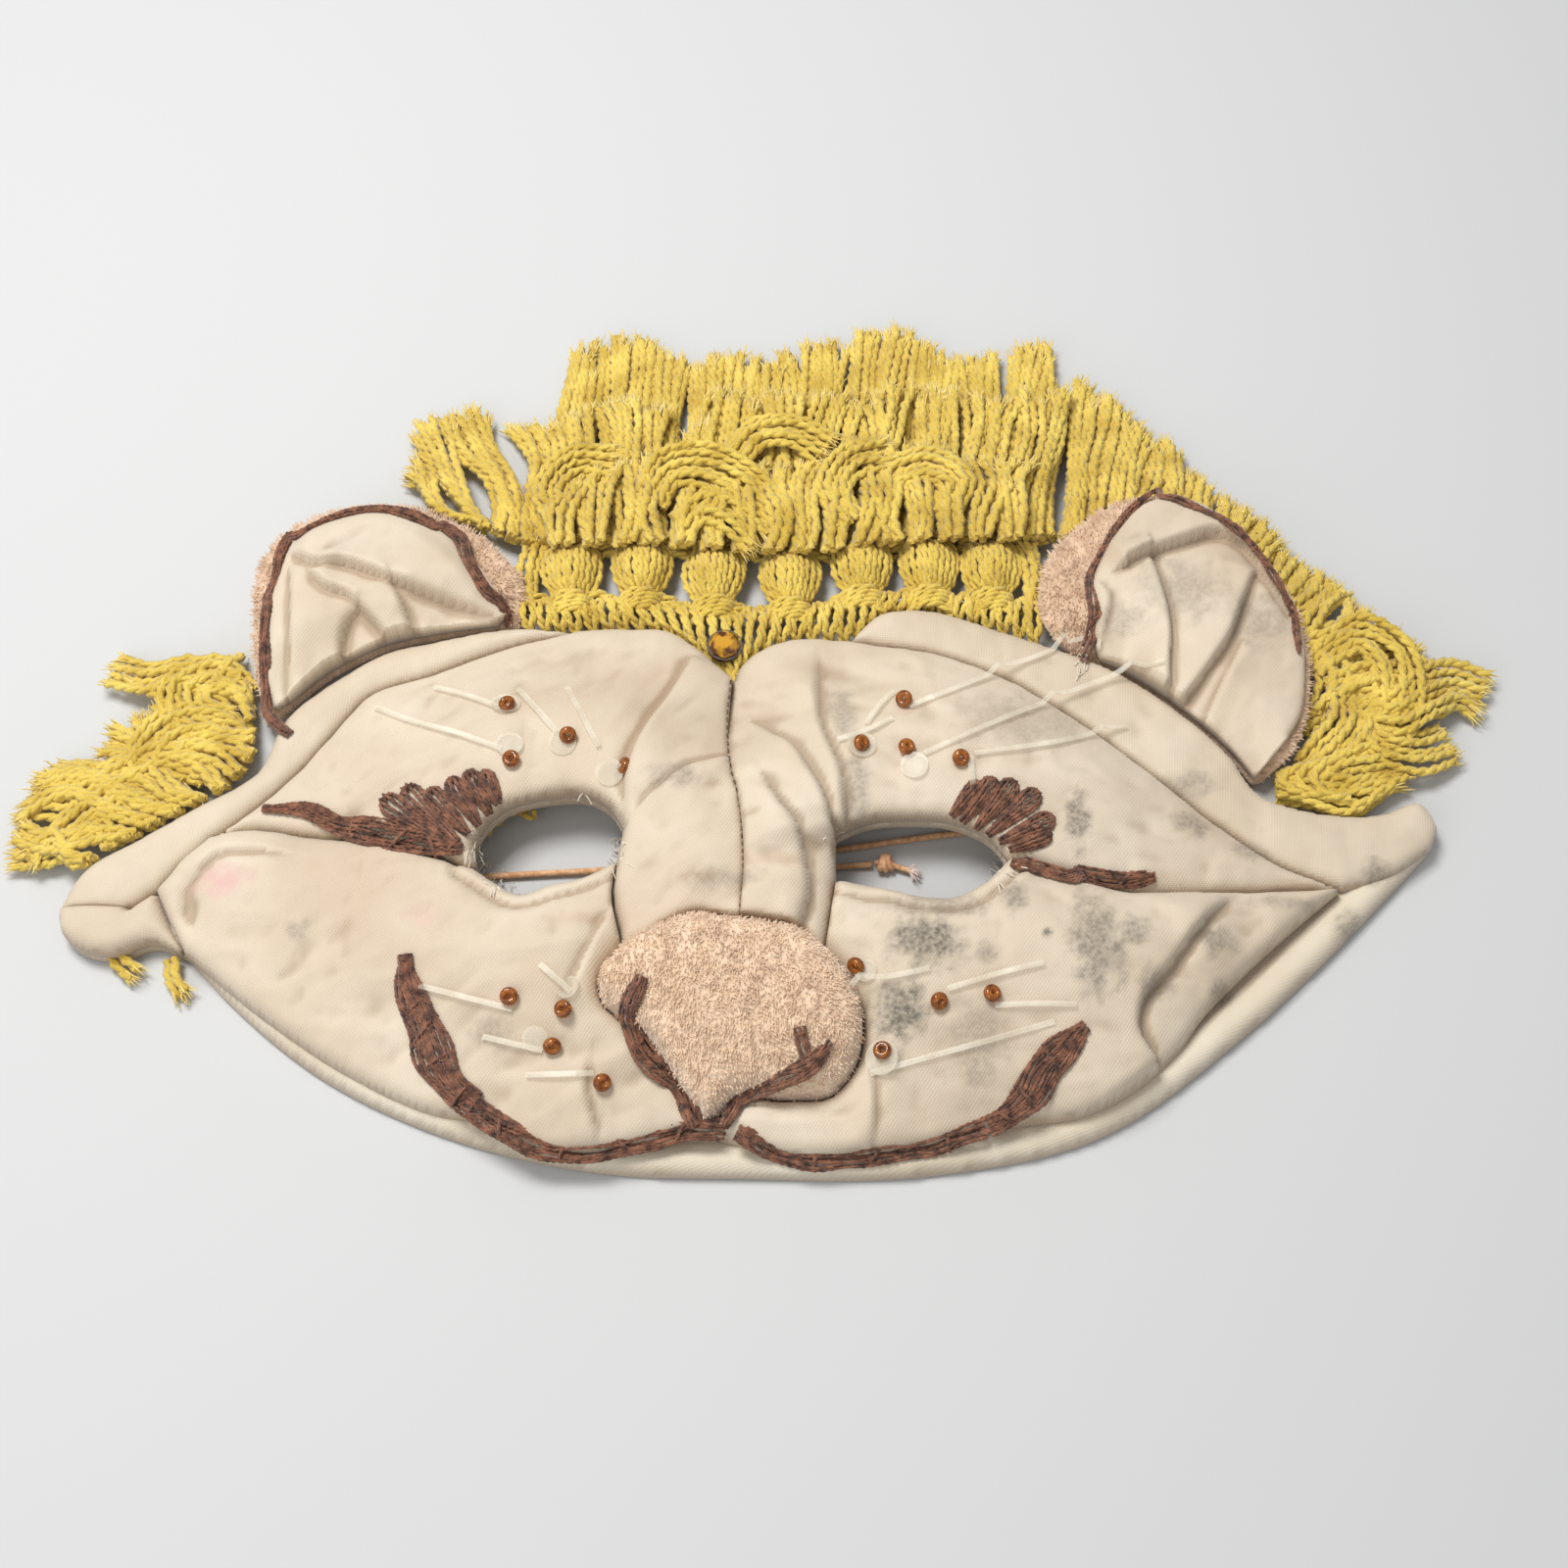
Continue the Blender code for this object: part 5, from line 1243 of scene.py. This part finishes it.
lower_line = [p.to_3d() for name, way in (("crown_left", -1), ("forehead_left", -1),
                                          ("forehead_right", 1), ("crown_right", 1))
              for p in smooth_line(SEAMS[name], 1.0)[::way] if -47 < p.x < 46]
upper_line = smooth_line([(-47, 34.5, 0), (-30, 34.8, 0), (-12, 33.4, 0), (2, 33.2, 0),
                          (14, 35.6, 0), (28, 35.6, 0), (46, 34.5, 0)], 1.0)
for k in range(POSTS):
    share = (k + 0.5) / POSTS
    foot = along_line(lower_line, share)
    head = along_line(upper_line, share + pick.gauss(0, 0.003))
    run = head - foot
    if run.length < 1.5:
        continue
    foot = foot + run.normalized() * 0.9
    for leg in (-1, 1):
        points = [foot + Vector((leg * 0.2, 0.0, 1.8)),
                  foot.lerp(head, 0.3) + Vector((leg * 0.95, 0.0, 4.2)),
                  foot.lerp(head, 0.72) + Vector((leg * 0.85, 0.0, 4.4)),
                  head + Vector((leg * 0.2, 0.5, 2.8))]
        twist(strip_curve, points, ROW_THICK * 0.9, start_turn=pick.uniform(0, math.tau), step=1.2)
top_line = smooth_line([(-46, 45.2, 0), (-10, 45.0, 0), (20, 45.8, 0), (46, 46.0, 0)], 1.0)
for line, base, swing in ((upper_line, 2.6, 1.1), (top_line, 2.4, 0.8)):
    for lane in (-0.8, 0.8):
        points = [p + Vector((0.0, lane + 0.5 * math.sin(i * 1.1),
                              base + swing * math.sin(i * 1.1 + lane)))
                  for i, p in enumerate(line[::2])]
        twist(strip_curve, points, ROW_THICK, step=1.2)
strip_piece = link_piece(as_mesh(strip_curve), yarn_gold)
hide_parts("mane_strip")

# Ends of the strip: flat crocheted cords that run on behind the ears, and the folded end that
# lies below the right ear: hairpin loops of yarn with their cut ends to the outside.
WINGS = {"left": ((-56, 44), (-70, 41), (-81, 34.5), (-90, 26)),
         "right": ((56, 42), (70, 34), (84, 21), (94.5, 8.5))}
for side, points in WINGS.items():
    wing = new_thread(f"mane_strip_{side}_stitches", PLY_THICK, 4)
    line = smooth_line([(*p, 0.0) for p in points], 1.7)
    for i, spot in enumerate(line[1:-1]):
        ahead = (line[i + 2] - line[i]).normalized()
        across = ahead.cross(UP)
        points = [spot + across * aside + ahead * along + UP * high
                  for aside, along, high in ((-2.7, 0.0, 1.2), (-1.2, 0.6, 2.6), (1.2, -0.2, 2.6),
                                             (2.7, 0.4, 1.2))]
        twist(wing, points, YARN_THICK, start_turn=i * 0.8, step=1.2)
    wing_piece = link_piece(as_mesh(wing), yarn_gold)
    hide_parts(f"mane_strip_{side}_end")
END_MIDDLE = smooth_line([(84.5, -1.4, 0), (92, -2.6, 0), (100, -2.2, 0), (107.0, 0.6, 0)], 1.0)
pick = random.Random(77)
end_curve = new_thread("mane_end_loops", PLY_THICK, 4)
end_tips = new_thread("mane_end_frayed_tips", TIP_HAIR_THICK, 4)
for strand in range(14):
    lane = (strand % 7 - 3) * 0.95
    layer = 1.2 + (strand // 7) * 1.6
    phase = pick.uniform(0, math.tau)
    reach = pick.uniform(0.78, 1.0)
    points = []
    for i in range(7):
        t = i / 6 * reach
        spot = along_line(END_MIDDLE, t)
        wide = 0.55 + 0.75 * math.sin(math.pi * min(1.0, t * 1.15))
        rise = 0.7 * math.sin(math.pi * t) + 0.3 * math.sin(phase + i)
        points.append(spot + Vector((0.0, lane * wide + 0.7 * math.sin(phase + i * 1.6),
                                     layer + rise)))
    twist(end_curve, points, YARN_THICK, start_turn=phase, step=1.3)
    frayed_tip(end_tips, points, pick)
for k in range(3):
    x, y, wide = 86.5 + k * 2.6, -1.2, 2.6 + 0.5 * k
    points = [(x + 4.5, y + wide, 3.4 + 0.5 * k), (x + 1.0, y + wide * 0.9, 4.0 + 0.4 * k),
              (x - 1.4, y, 3.6 + 0.4 * k), (x + 1.0, y - wide * 0.9, 4.0 + 0.4 * k),
              (x + 4.5, y - wide, 3.4 + 0.5 * k)]
    twist(end_curve, points, YARN_THICK, start_turn=k, step=1.2)
end_piece = link_piece(as_mesh(end_curve), yarn_gold)
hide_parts("mane_end_right")
link_piece(as_mesh(end_tips), yarn_pale)

# Loose turns of yarn: the ends of the strip gathered beside the left ear, tufts folded over
# the puffed stitches, turns at the right, and bits that stick out below the left tab.
# Columns: strands, how far they spread, points
LOOSE_TURNS = (
    (6, 1.6, ((-94, 15, 2.5), (-99, 19, 4.5), (-104, 16, 5.0), (-102, 10, 4.5), (-97, 8, 3.5))),
    (6, 1.7, ((-93, 6, 2.5), (-99, 9, 4.6), (-106, 7, 5.0), (-108, 1, 4.2), (-103, -2, 3.4))),
    (5, 1.6, ((-99, 1, 3.0), (-107, 3, 4.6), (-114, -1, 4.2), (-121, -4, 2.6), (-128, -3, 1.6))),
    (5, 1.5, ((-104, -5, 3.0), (-112, -3, 4.4), (-118, -8, 4.0), (-124, -13, 2.4),
              (-130, -13, 1.5))),
    (4, 1.4, ((-97, 14, 3.4), (-104, 20, 4.6), (-111, 19, 3.4), (-118, 21, 1.8))),
    (6, 1.5, ((-24, 52, 8.5), (-21, 57.5, 10.6), (-14.5, 58.5, 10.8), (-7.5, 55, 9.6),
              (-3.5, 49.5, 8.2))),
    (5, 1.4, ((-19, 47, 8.6), (-14.5, 50, 10.4), (-8.5, 48.5, 9.8), (-4.5, 44.0, 8.0))),
    (5, 1.3, ((-9, 61, 8.6), (-5, 66, 10.0), (2, 66.5, 10.0), (7.5, 63, 9.0))),
    (5, 1.4, ((28, 49, 8.6), (31, 55, 10.4), (25.5, 59, 10.2), (19, 57, 9.0))),
    (5, 1.4, ((12, 47.5, 8.8), (9, 54, 10.4), (12.5, 60.5, 10.0), (19, 62.5, 8.8))),
    (5, 1.5, ((-38, 48, 7.6), (-42, 54, 8.6), (-38, 60.5, 8.4), (-31, 60, 7.8))),
    (6, 1.4, ((95.5, 24, 3.0), (101, 27, 5.0), (106, 22.5, 5.2), (106.5, 15, 4.6),
              (103.5, 8, 3.4))),
    (6, 1.5, ((99, 14, 3.2), (106, 11.5, 4.8), (112, 15.5, 4.2), (117.5, 18, 2.4), (122, 16, 1.6))),
    (5, 1.4, ((100.5, 11, 3.0), (103, 5.5, 4.2), (109, 4.5, 3.4), (115, 6.5, 1.8))),
    (6, 1.3, ((89.5, 1, 2.2), (94, 4.5, 3.6), (98.5, 9, 4.0), (99.5, 15, 3.2))),
    (5, 1.3, ((93, 12, 2.4), (96.5, 17, 3.6), (96, 23, 3.8), (93, 29, 3.0))),
    (5, 1.2, ((90, -1, 2.4), (95.5, 2.5, 3.8), (101, 4, 3.8), (106, 8.5, 2.4))),
    (3, 0.9, ((-45, 33.5, 2.4), (-46.2, 40, 3.4), (-44.6, 46.5, 3.0))),
    (3, 0.9, ((44, 33.5, 2.4), (44.8, 40, 3.4), (43.6, 46.5, 3.0))),
    (2, 0.9, ((-112, -30, 1.2), (-110, -33.2, 1.2), (-107, -35.5, 1.1))),
    (2, 0.8, ((-101, -33, 1.2), (-100.5, -36.5, 1.1), (-98.8, -39, 1.1))),
)
loose = new_thread("mane_loose_turns", PLY_THICK, 4)
loose_tips = new_thread("mane_loose_frayed_tips", TIP_HAIR_THICK, 4)
for count, spread, points in LOOSE_TURNS:
    for k in range(count):
        share = (k / (count - 1) - 0.5) * 2.0
        moved = []
        for i, point in enumerate(points):
            ahead = heading(points, i)
            aside = Vector((-ahead.y, ahead.x, 0.0)).normalized()
            fan = spread * (1.0 + 0.5 * i / (len(points) - 1)) * count * 0.34
            moved.append(Vector(point) + aside * (share * fan + pick.gauss(0, 0.25))
                         + UP * ((k % 2) * 0.8))
        twist(loose, moved, YARN_THICK, start_turn=pick.uniform(0, math.tau), step=1.35)
        frayed_tip(loose_tips, moved, pick)
link_piece(as_mesh(loose), yarn_gold)
link_piece(as_mesh(loose_tips), yarn_pale)

# Brown yarn: bands of thin strands laid side by side for the mouth, the eye lines, the lashes,
# the nose and the ears, heaped a little and held down by small stitches of the same yarn.
BROWN_THICK = 0.78
PIXELS_PER_MM = 5.9
yarn_brown = new_material("yarn_brown", (0.20, 0.10, 0.06), 0.9, 0.25)
mottle(yarn_brown, (0.050, 0.017, 0.009), (0.33, 0.135, 0.070), 1.5, 0.32, 0.70)
fibre_bump(yarn_brown, 0.3, 0.8, 0.2)
FACE_PIECES = tuple(f"{pad}_quilted" for pad in PADS) + ("nose_pad_plush", "padded_backing")
EAR_PIECES = ("ear_left_sateen", "ear_right_sateen", "ear_left_plush", "ear_right_plush")


def seen_at(px, py, names):
    """The nearest spot of some pieces that the photograph shows at a pixel, or None."""
    ray = (on_photo(px, py, 0.0) - EYE_POINT).normalized()
    hits = [surfaces[name].ray_cast(EYE_POINT, ray) for name in names]
    hits = [hit for hit in hits if hit[0] is not None]
    return min(hits, key=lambda hit: hit[3])[0] if hits else None


def seat(px, py, names, lift):
    """The spot that a pixel shows, raised by `lift`: on some pieces, or on the table past them."""
    spot = seen_at(px, py, names) or on_photo(px, py, 0.4)
    return spot + UP * lift


def taut(line, slack=0.12):
    """Yarn is too stiff to follow a sharp dip: it bridges it, in place of sinking in."""
    for _ in range(12):
        for before, spot, after in zip(line, line[1:], line[2:]):
            spot.z = max(spot.z, (before.z + after.z) / 2 - slack)
    return line


def laid(spots, names, lift, drop):
    """Plan spots with their height, set onto the highest of some pieces and pulled taut."""
    placed = []
    for spot in spots:
        found = top_of(names, spot.x, spot.y)
        if found is None or found[0] < spot.z - drop:
            placed.append(spot + UP * lift)
        else:
            placed.append(Vector((spot.x, spot.y, min(found[0], spot.z + 0.8) + lift)))
    return taut(placed)


def yarn_band(curve, pixels, names, strands, widths, ties, lift, drop, pick):
    """Strands laid side by side along a line of pixels. `widths` are in pixels along it."""
    pixels = smooth_line(pixels, 8.0)
    shares = [i / (len(pixels) - 1) for i in range(len(pixels))]
    seen = [(seen_at(p.x, p.y, names), t) for p, t in zip(pixels, shares)]
    line, shares = zip(*[(spot, t) for spot, t in seen if spot is not None])
    taut(line, 0.3)
    count = len(line)

    def across(i):
        ahead = heading(line, i)
        t = shares[i] * (len(widths) - 1)
        low = min(int(t), len(widths) - 2)
        wide = (widths[low] + (widths[low + 1] - widths[low]) * (t - low)) / PIXELS_PER_MM
        return Vector((-ahead.y, ahead.x, 0.0)).normalized(), wide

    for k in range(strands):
        share = k / (strands - 1) - 0.5
        phase, swing = pick.uniform(0, math.tau), pick.uniform(0.1, 0.28)
        heap = (1.0 - abs(share) * 1.6) * 0.4 + pick.uniform(0.0, 0.2)
        spots = []
        for i in range(pick.choice((0, 0, 1)), count - pick.choice((0, 0, 1))):
            aside, wide = across(i)
            spots.append(line[i] + aside * (share * wide + swing * math.sin(phase + i * 0.8)))
        twist(curve, laid(spots, names, lift + heap, drop), BROWN_THICK, twist_long=2.2,
              start_turn=phase, step=0.9)
    for tie in range(ties):
        i = min(count - 2, max(1, round((tie + pick.uniform(0.2, 0.8)) / ties * (count - 1))))
        aside, wide = across(i)
        lean = (line[i + 1] - line[i - 1]) * pick.uniform(-1.2, 1.2)
        spots = [line[i] + aside * side * wide + lean * side for side in (-0.5, -0.25, 0.25, 0.5)]
        stitch = laid(spots, names, lift + 0.5, drop)
        stitch[0].z -= 0.6
        stitch[-1].z -= 0.6
        twist(curve, stitch, BROWN_THICK, twist_long=2.2, start_turn=tie, step=0.9)


# Columns: node, strands, small stitches across, how high it lies, widths in pixels, pixels
BROWN_BANDS = (
    ("mouth_yarn_left", 12, 5, 0.34, (12, 20, 30, 36, 28, 22), ((414, 975), (415, 1003),
                                                                (424, 1028), (434, 1052),
                                                                (446, 1084), (464, 1112),
                                                                (484, 1130))),
    ("mouth_yarn_left", 8, 4, 0.34, (20, 20, 18, 18, 16), ((476, 1124), (503, 1147), (526, 1160),
                                                           (551, 1172), (590, 1177), (628, 1172),
                                                           (666, 1164), (702, 1155), (740, 1154))),
    ("mouth_yarn_right", 11, 4, 0.34, (10, 28, 32, 22, 18), ((1108, 1048), (1090, 1066),
                                                             (1068, 1090), (1047, 1122),
                                                             (1025, 1142), (999, 1152))),
    ("mouth_yarn_right", 8, 4, 0.34, (20, 18, 18, 16, 14), ((1004, 1150), (951, 1168), (888, 1178),
                                                            (824, 1184), (792, 1177), (752, 1156))),
    ("brow_yarn_left", 10, 4, 0.34, (7, 12, 20, 32, 26, 12), ((269, 826), (317, 829), (345, 843),
                                                              (380, 852), (425, 860), (472, 868))),
    ("brow_yarn_right", 7, 3, 0.34, (7, 14, 14, 16, 7), ((1032, 880), (1068, 890), (1101, 897),
                                                         (1132, 900), (1178, 896))),
    ("nose_yarn_left", 7, 3, 0.75, (10, 16, 18, 18, 12), ((654, 998), (642, 1036), (652, 1070),
                                                          (670, 1091), (690, 1110), (712, 1150))),
    ("nose_yarn_right", 6, 2, 0.75, (8, 14, 16, 14, 10), ((848, 1066), (820, 1094), (789, 1108),
                                                          (758, 1122), (738, 1150))),
    ("nose_yarn_right", 3, 1, 0.75, (8, 10, 8), ((816, 1050), (819, 1066), (823, 1084))),
    ("ear_yarn_left", 5, 7, 0.3, (7, 8, 8, 8, 10, 12, 8), ((297, 750), (277, 736), (272, 690),
                                                           (270, 648), (274, 618), (282, 590),
                                                           (287, 566), (303, 548), (330, 533),
                                                           (362, 522), (395, 521), (422, 527),
                                                           (446, 539), (470, 554), (482, 580),
                                                           (497, 604), (512, 616), (520, 640))),
    ("ear_yarn_right", 4, 6, 0.3, (12, 8, 6, 5, 4, 3), ((1104, 676), (1112, 658), (1116, 630),
                                                        (1112, 594), (1123, 568), (1141, 538),
                                                        (1163, 514), (1193, 508), (1219, 518),
                                                        (1247, 531), (1274, 555), (1300, 590),
                                                        (1318, 625), (1326, 668))),
)
LASHES = {
    "lash_yarn_left": (((509, 822), (494, 789)), ((500, 832), (478, 789)), ((489, 843), (460, 797)),
                       ((478, 852), (438, 808)), ((468, 860), (414, 806)),
                       ((462, 866), (392, 817))),
    "lash_yarn_right": (((971, 834), (999, 801)), ((982, 840), (1014, 797)),
                        ((996, 847), (1034, 799)), ((1008, 853), (1058, 810)),
                        ((1020, 860), (1073, 836)), ((1030, 868), (1070, 852))),
}
BROWN_NODES = [*dict.fromkeys(row[0] for row in BROWN_BANDS), *LASHES]
brown_curves = {node: new_thread(f"{node}_strands", BROWN_THICK * 0.62, 4) for node in BROWN_NODES}
pick = random.Random(55)
for node, strands, ties, lift, widths, pixels in BROWN_BANDS:
    names, drop = ((EAR_PIECES + FACE_PIECES, 0.8) if node.startswith("ear")
                   else (FACE_PIECES, 1.2))
    yarn_band(brown_curves[node], pixels, names, strands, widths, ties, lift, drop, pick)
for node, lashes in LASHES.items():
    for base, tip in lashes:
        base, tip = Vector(base), Vector(tip)
        aside = (tip - base).orthogonal().normalized()
        for turn in range(3):
            wide = 7.2 - 2.7 * turn
            belly = base.lerp(tip, 0.45)
            pixels = [base - aside * 2.0, belly - aside * wide, tip - aside * wide * 0.75,
                      tip + (tip - base).normalized() * (2.0 - 2.5 * turn),
                      tip + aside * wide * 0.75, belly + aside * wide, base + aside * 2.0]
            line = [seat(p.x, p.y, FACE_PIECES, 0.35 + 0.25 * turn)
                    for p in smooth_line(pixels, 6.0)]
            twist(brown_curves[node], taut(line, 0.2), BROWN_THICK, twist_long=2.4,
                  start_turn=pick.uniform(0, math.tau), step=0.9)
for node, curve in brown_curves.items():
    brown_piece = link_piece(as_mesh(curve), yarn_brown)
    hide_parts(node)

# Whiskers: clear flat plastic strips sewn down at the face end, each with an amber seed bead
# and on some a clear cupped sequin under it.
BEAD_RADIUS = 1.5
STRIP_WIDE = 0.95
STRIPS = (((444, 703), (478, 712), (512, 724)), ((383, 723), (416, 736), (470, 751), (512, 765)),
          ((529, 705), (548, 726), (568, 748)), ((579, 703), (593, 730), (611, 763)),
          ((1106, 652), (1017, 688), (928, 722)), ((910, 734), (882, 748), (855, 756)),
          ((912, 707), (897, 722), (884, 740)), ((1188, 675), (1142, 691), (1081, 714), (1019, 737),
                                                 (943, 770)),
          ((1149, 742), (1078, 759), (994, 770)), ((990, 773), (991, 790), (993, 804)),
          ((428, 1007), (476, 1020), (523, 1031)), ((551, 985), (566, 999), (582, 1013)),
          ((493, 1059), (524, 1067), (554, 1073)), ((537, 1098), (571, 1098), (605, 1096)),
          ((868, 1007), (908, 999), (948, 989)), ((967, 1010), (1016, 996), (1065, 983)),
          ((1015, 1027), (1056, 1026), (1098, 1026)),
          ((888, 1096), (935, 1083), (983, 1070), (1076, 1043)))
BEADS = ((518, 721), (522, 777), (580, 753), (637, 784), (922, 716), (879, 761), (925, 765),
         (980, 776), (520, 1019), (575, 1032), (564, 1070), (615, 1107), (873, 988), (958, 1024),
         (1012, 1016), (900, 1074))
SEQUINS = ((516, 720, 15), (520, 761, 14), (574, 758, 14), (622, 789, 14), (879, 761, 15),
           (933, 782, 14), (581, 1009, 12), (547, 1061, 13), (900, 1080, 17), (883, 991, 11))
clear_plastic = new_material("clear_plastic", (0.90, 0.84, 0.70), 0.34)
set_inputs(clear_plastic, {"Alpha": 0.27, "Specular IOR Level": 0.35})
mottle(clear_plastic, (0.78, 0.70, 0.54), (0.95, 0.90, 0.76), 4.0)
amber_glass = new_material("amber_bead", (0.50, 0.15, 0.02), 0.05)
set_inputs(amber_glass, {"Transmission Weight": 0.6, "IOR": 1.52})
mottle(amber_glass, (0.22, 0.05, 0.008), (0.70, 0.25, 0.04), 1.1)
strip_bm = bmesh.new()
for strip in STRIPS:
    line = taut([seat(p.x, p.y, FACE_PIECES + EAR_PIECES, 0.45)
                 for p in smooth_line(strip, 9.0)], 0.05)
    last = len(line) - 1
    made = bmesh.ops.create_grid(strip_bm, x_segments=last, y_segments=1, size=1.0)["verts"]
    for vert in made:
        i = round((vert.co.x + 1.0) / 2 * last)
        ahead = heading(line, i).normalized()
        aside = ahead.cross(UP).normalized() * STRIP_WIDE / 2
        vert.co = line[i] + aside * vert.co.y + UP * (0.4 * math.sin(math.pi * i / last))
bmesh.ops.solidify(strip_bm, geom=strip_bm.faces[:], thickness=0.3)
link_piece(new_piece("whisker_strips", strip_bm, smooth=False), clear_plastic)


def lying(px, py, lift, tip):
    """Place and tilt for a small flat thing that lies on the cloth at a pixel."""
    middle = seat(px, py, FACE_PIECES, lift)
    found = top_of(FACE_PIECES, middle.x, middle.y)
    up = (found[1] if found else UP) + tip
    return Matrix.Translation(middle) @ up.to_track_quat("Z", "Y").to_matrix().to_4x4()


pick = random.Random(3)
bead_bm = bmesh.new()
for px, py in BEADS:
    known = set(bead_bm.verts)
    ring = bmesh.ops.create_circle(bead_bm, segments=12, radius=BEAD_RADIUS * 0.40)["verts"]
    bmesh.ops.scale(bead_bm, vec=(1.0, 1.25, 1.0), verts=ring)
    upright = Matrix.Rotation(math.pi / 2, 3, "X")
    bmesh.ops.rotate(bead_bm, cent=(0, 0, 0), matrix=upright, verts=ring)
    bmesh.ops.translate(bead_bm, vec=(BEAD_RADIUS * 0.60, 0, 0), verts=ring)
    loop = ring + list({e for v in ring for e in v.link_edges})
    bmesh.ops.spin(bead_bm, geom=loop, cent=(0, 0, 0), axis=UP, dvec=(0, 0, 0),
                   angle=math.tau, steps=18, use_merge=True, use_duplicate=False)
    made = [v for v in bead_bm.verts if v not in known]
    tip = Vector((pick.uniform(-0.7, 0.7), pick.uniform(-0.9, 0.3), 0.0))
    bmesh.ops.transform(bead_bm, matrix=lying(px, py, BEAD_RADIUS * 0.75, tip), verts=made)
link_piece(new_piece("seed_beads", bead_bm), amber_glass)
sequin_bm = bmesh.new()
for px, py, half in SEQUINS:
    radius = half / 6.0
    made = bmesh.ops.create_cone(sequin_bm, cap_ends=True, segments=24, radius1=radius * 0.62,
                                 radius2=radius, depth=0.5)["verts"]
    tip = Vector((pick.uniform(-0.12, 0.12), pick.uniform(-0.15, 0.05), 0.0))
    bmesh.ops.transform(sequin_bm, matrix=lying(px, py, 0.5, tip), verts=made)
link_piece(new_piece("sequins", sequin_bm, smooth=False), clear_plastic)

# Rhinestone: a round amber stone with a flat table and facets, in a darkened ring at the
# peak of the forehead. The stone and its ring keep their own solids.
stone_painted_facets = new_material("amber_stone", (0.60, 0.24, 0.02), 0.03)
set_inputs(stone_painted_facets, {"Transmission Weight": 0.25, "IOR": 1.6})
# Sharp near-black and bright amber patches: painted shade and reflections of the facets.
mottle(stone_painted_facets, (0.13, 0.035, 0.004), (0.80, 0.40, 0.03), 1.6, 0.42, 0.58)
ring_finish = new_material("dark_brass_ring", (0.06, 0.035, 0.02), 0.45)
mottle(ring_finish, (0.02, 0.012, 0.008), (0.11, 0.06, 0.03), 0.9)
for node, finish in (("rhinestone", stone_painted_facets), ("stone_ring", ring_finish)):
    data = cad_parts[node].data
    data.materials.clear()
    data.materials.append(finish)

# Stitching: a dark running stitch down the centre seam, from the forehead to the nose.
stitch_finish = new_material("stitch_thread", (0.10, 0.06, 0.04), 0.8)
mottle(stitch_finish, (0.06, 0.035, 0.02), (0.2, 0.13, 0.08), 1.0)
stitch_curve = new_thread("centre_stitches", 0.3, 6)
centre_pixels = smooth_line(((747, 687), (742, 733), (742, 753), (746, 784), (754, 817),
                             (757, 855), (758, 893), (755, 926)), 4.0)
for i in range(0, len(centre_pixels) - 1, 2):
    a, b = centre_pixels[i], centre_pixels[i].lerp(centre_pixels[i + 1], 0.9)
    add_spline(stitch_curve, [seat(p.x, p.y, FACE_PIECES, 0.12) for p in (a, a.lerp(b, 0.5), b)])
link_piece(as_mesh(stitch_curve), stitch_finish)

# Worn edges: pale threads that have frayed out of the cloth at the corners of the eyes, and
# lumps of mustard yarn caught inside the left eye opening.
# Columns: pixel x and y, threads, which way they lean in pixels, how far they scatter
FRAYS = ((487, 866, 16, (-3, 9), 5), (497, 886, 18, (-4, 8), 7), (512, 902, 14, (0, 7), 7),
         (484, 850, 10, (-6, 2), 4), (632, 862, 16, (7, 3), 5), (628, 878, 12, (6, 7), 5),
         (597, 814, 3, (-1, 12), 2), (1026, 878, 20, (8, 3), 6), (1016, 890, 12, (5, 8), 6),
         (853, 850, 8, (-4, -3), 4), (1108, 662, 10, (6, 4), 6), (1104, 680, 8, (-5, 6), 5))
LUMP_PIXELS = ((487, 856), (495, 845), (505, 836), (517, 829), (529, 823), (540, 830))
fray_thread = new_material("frayed_cotton", (0.90, 0.84, 0.72), 0.85, 0.3)
mottle(fray_thread, (0.70, 0.60, 0.46), (0.95, 0.91, 0.82), 1.2)
worn = new_thread("frayed_threads", 0.17, 4)
pick = random.Random(91)
for px, py, count, (lean_x, lean_y), scatter in FRAYS:
    names = EAR_PIECES + FACE_PIECES if py < 700 else FACE_PIECES
    for _ in range(count):
        x, y = px + pick.gauss(0, scatter), py + pick.gauss(0, scatter)
        start = seat(x, y, names, 0.05)
        far = on_photo(x + lean_x + pick.gauss(0, 4), y + lean_y + pick.gauss(0, 4), start.z)
        run = far - on_photo(x, y, start.z)
        middle = start + run * 0.6 + UP * pick.uniform(0.3, 0.9)
        end = start + run * pick.uniform(0.9, 1.4) + UP * pick.uniform(-0.3, 0.7)
        add_spline(worn, smooth_line([start, middle, end], 0.4))
link_piece(as_mesh(worn), fray_thread)
lumps = new_thread("yarn_in_left_eye", 1.0, 6)
lump_line = [on_photo(px, py, 3.4) for px, py in LUMP_PIXELS]
for i, spot in enumerate(smooth_line(lump_line, 1.1)):
    turn = i * 2.1
    loop = [spot + Vector((0.9 * math.cos(turn + a), 0.9 * math.sin(turn + a),
                           0.55 * math.sin(a * 2 + i)))
            for a in (0.0, 1.2, 2.4, 3.6, 4.8)]
    add_spline(lumps, smooth_line(loop, 0.5))
link_piece(as_mesh(lumps), yarn_gold)
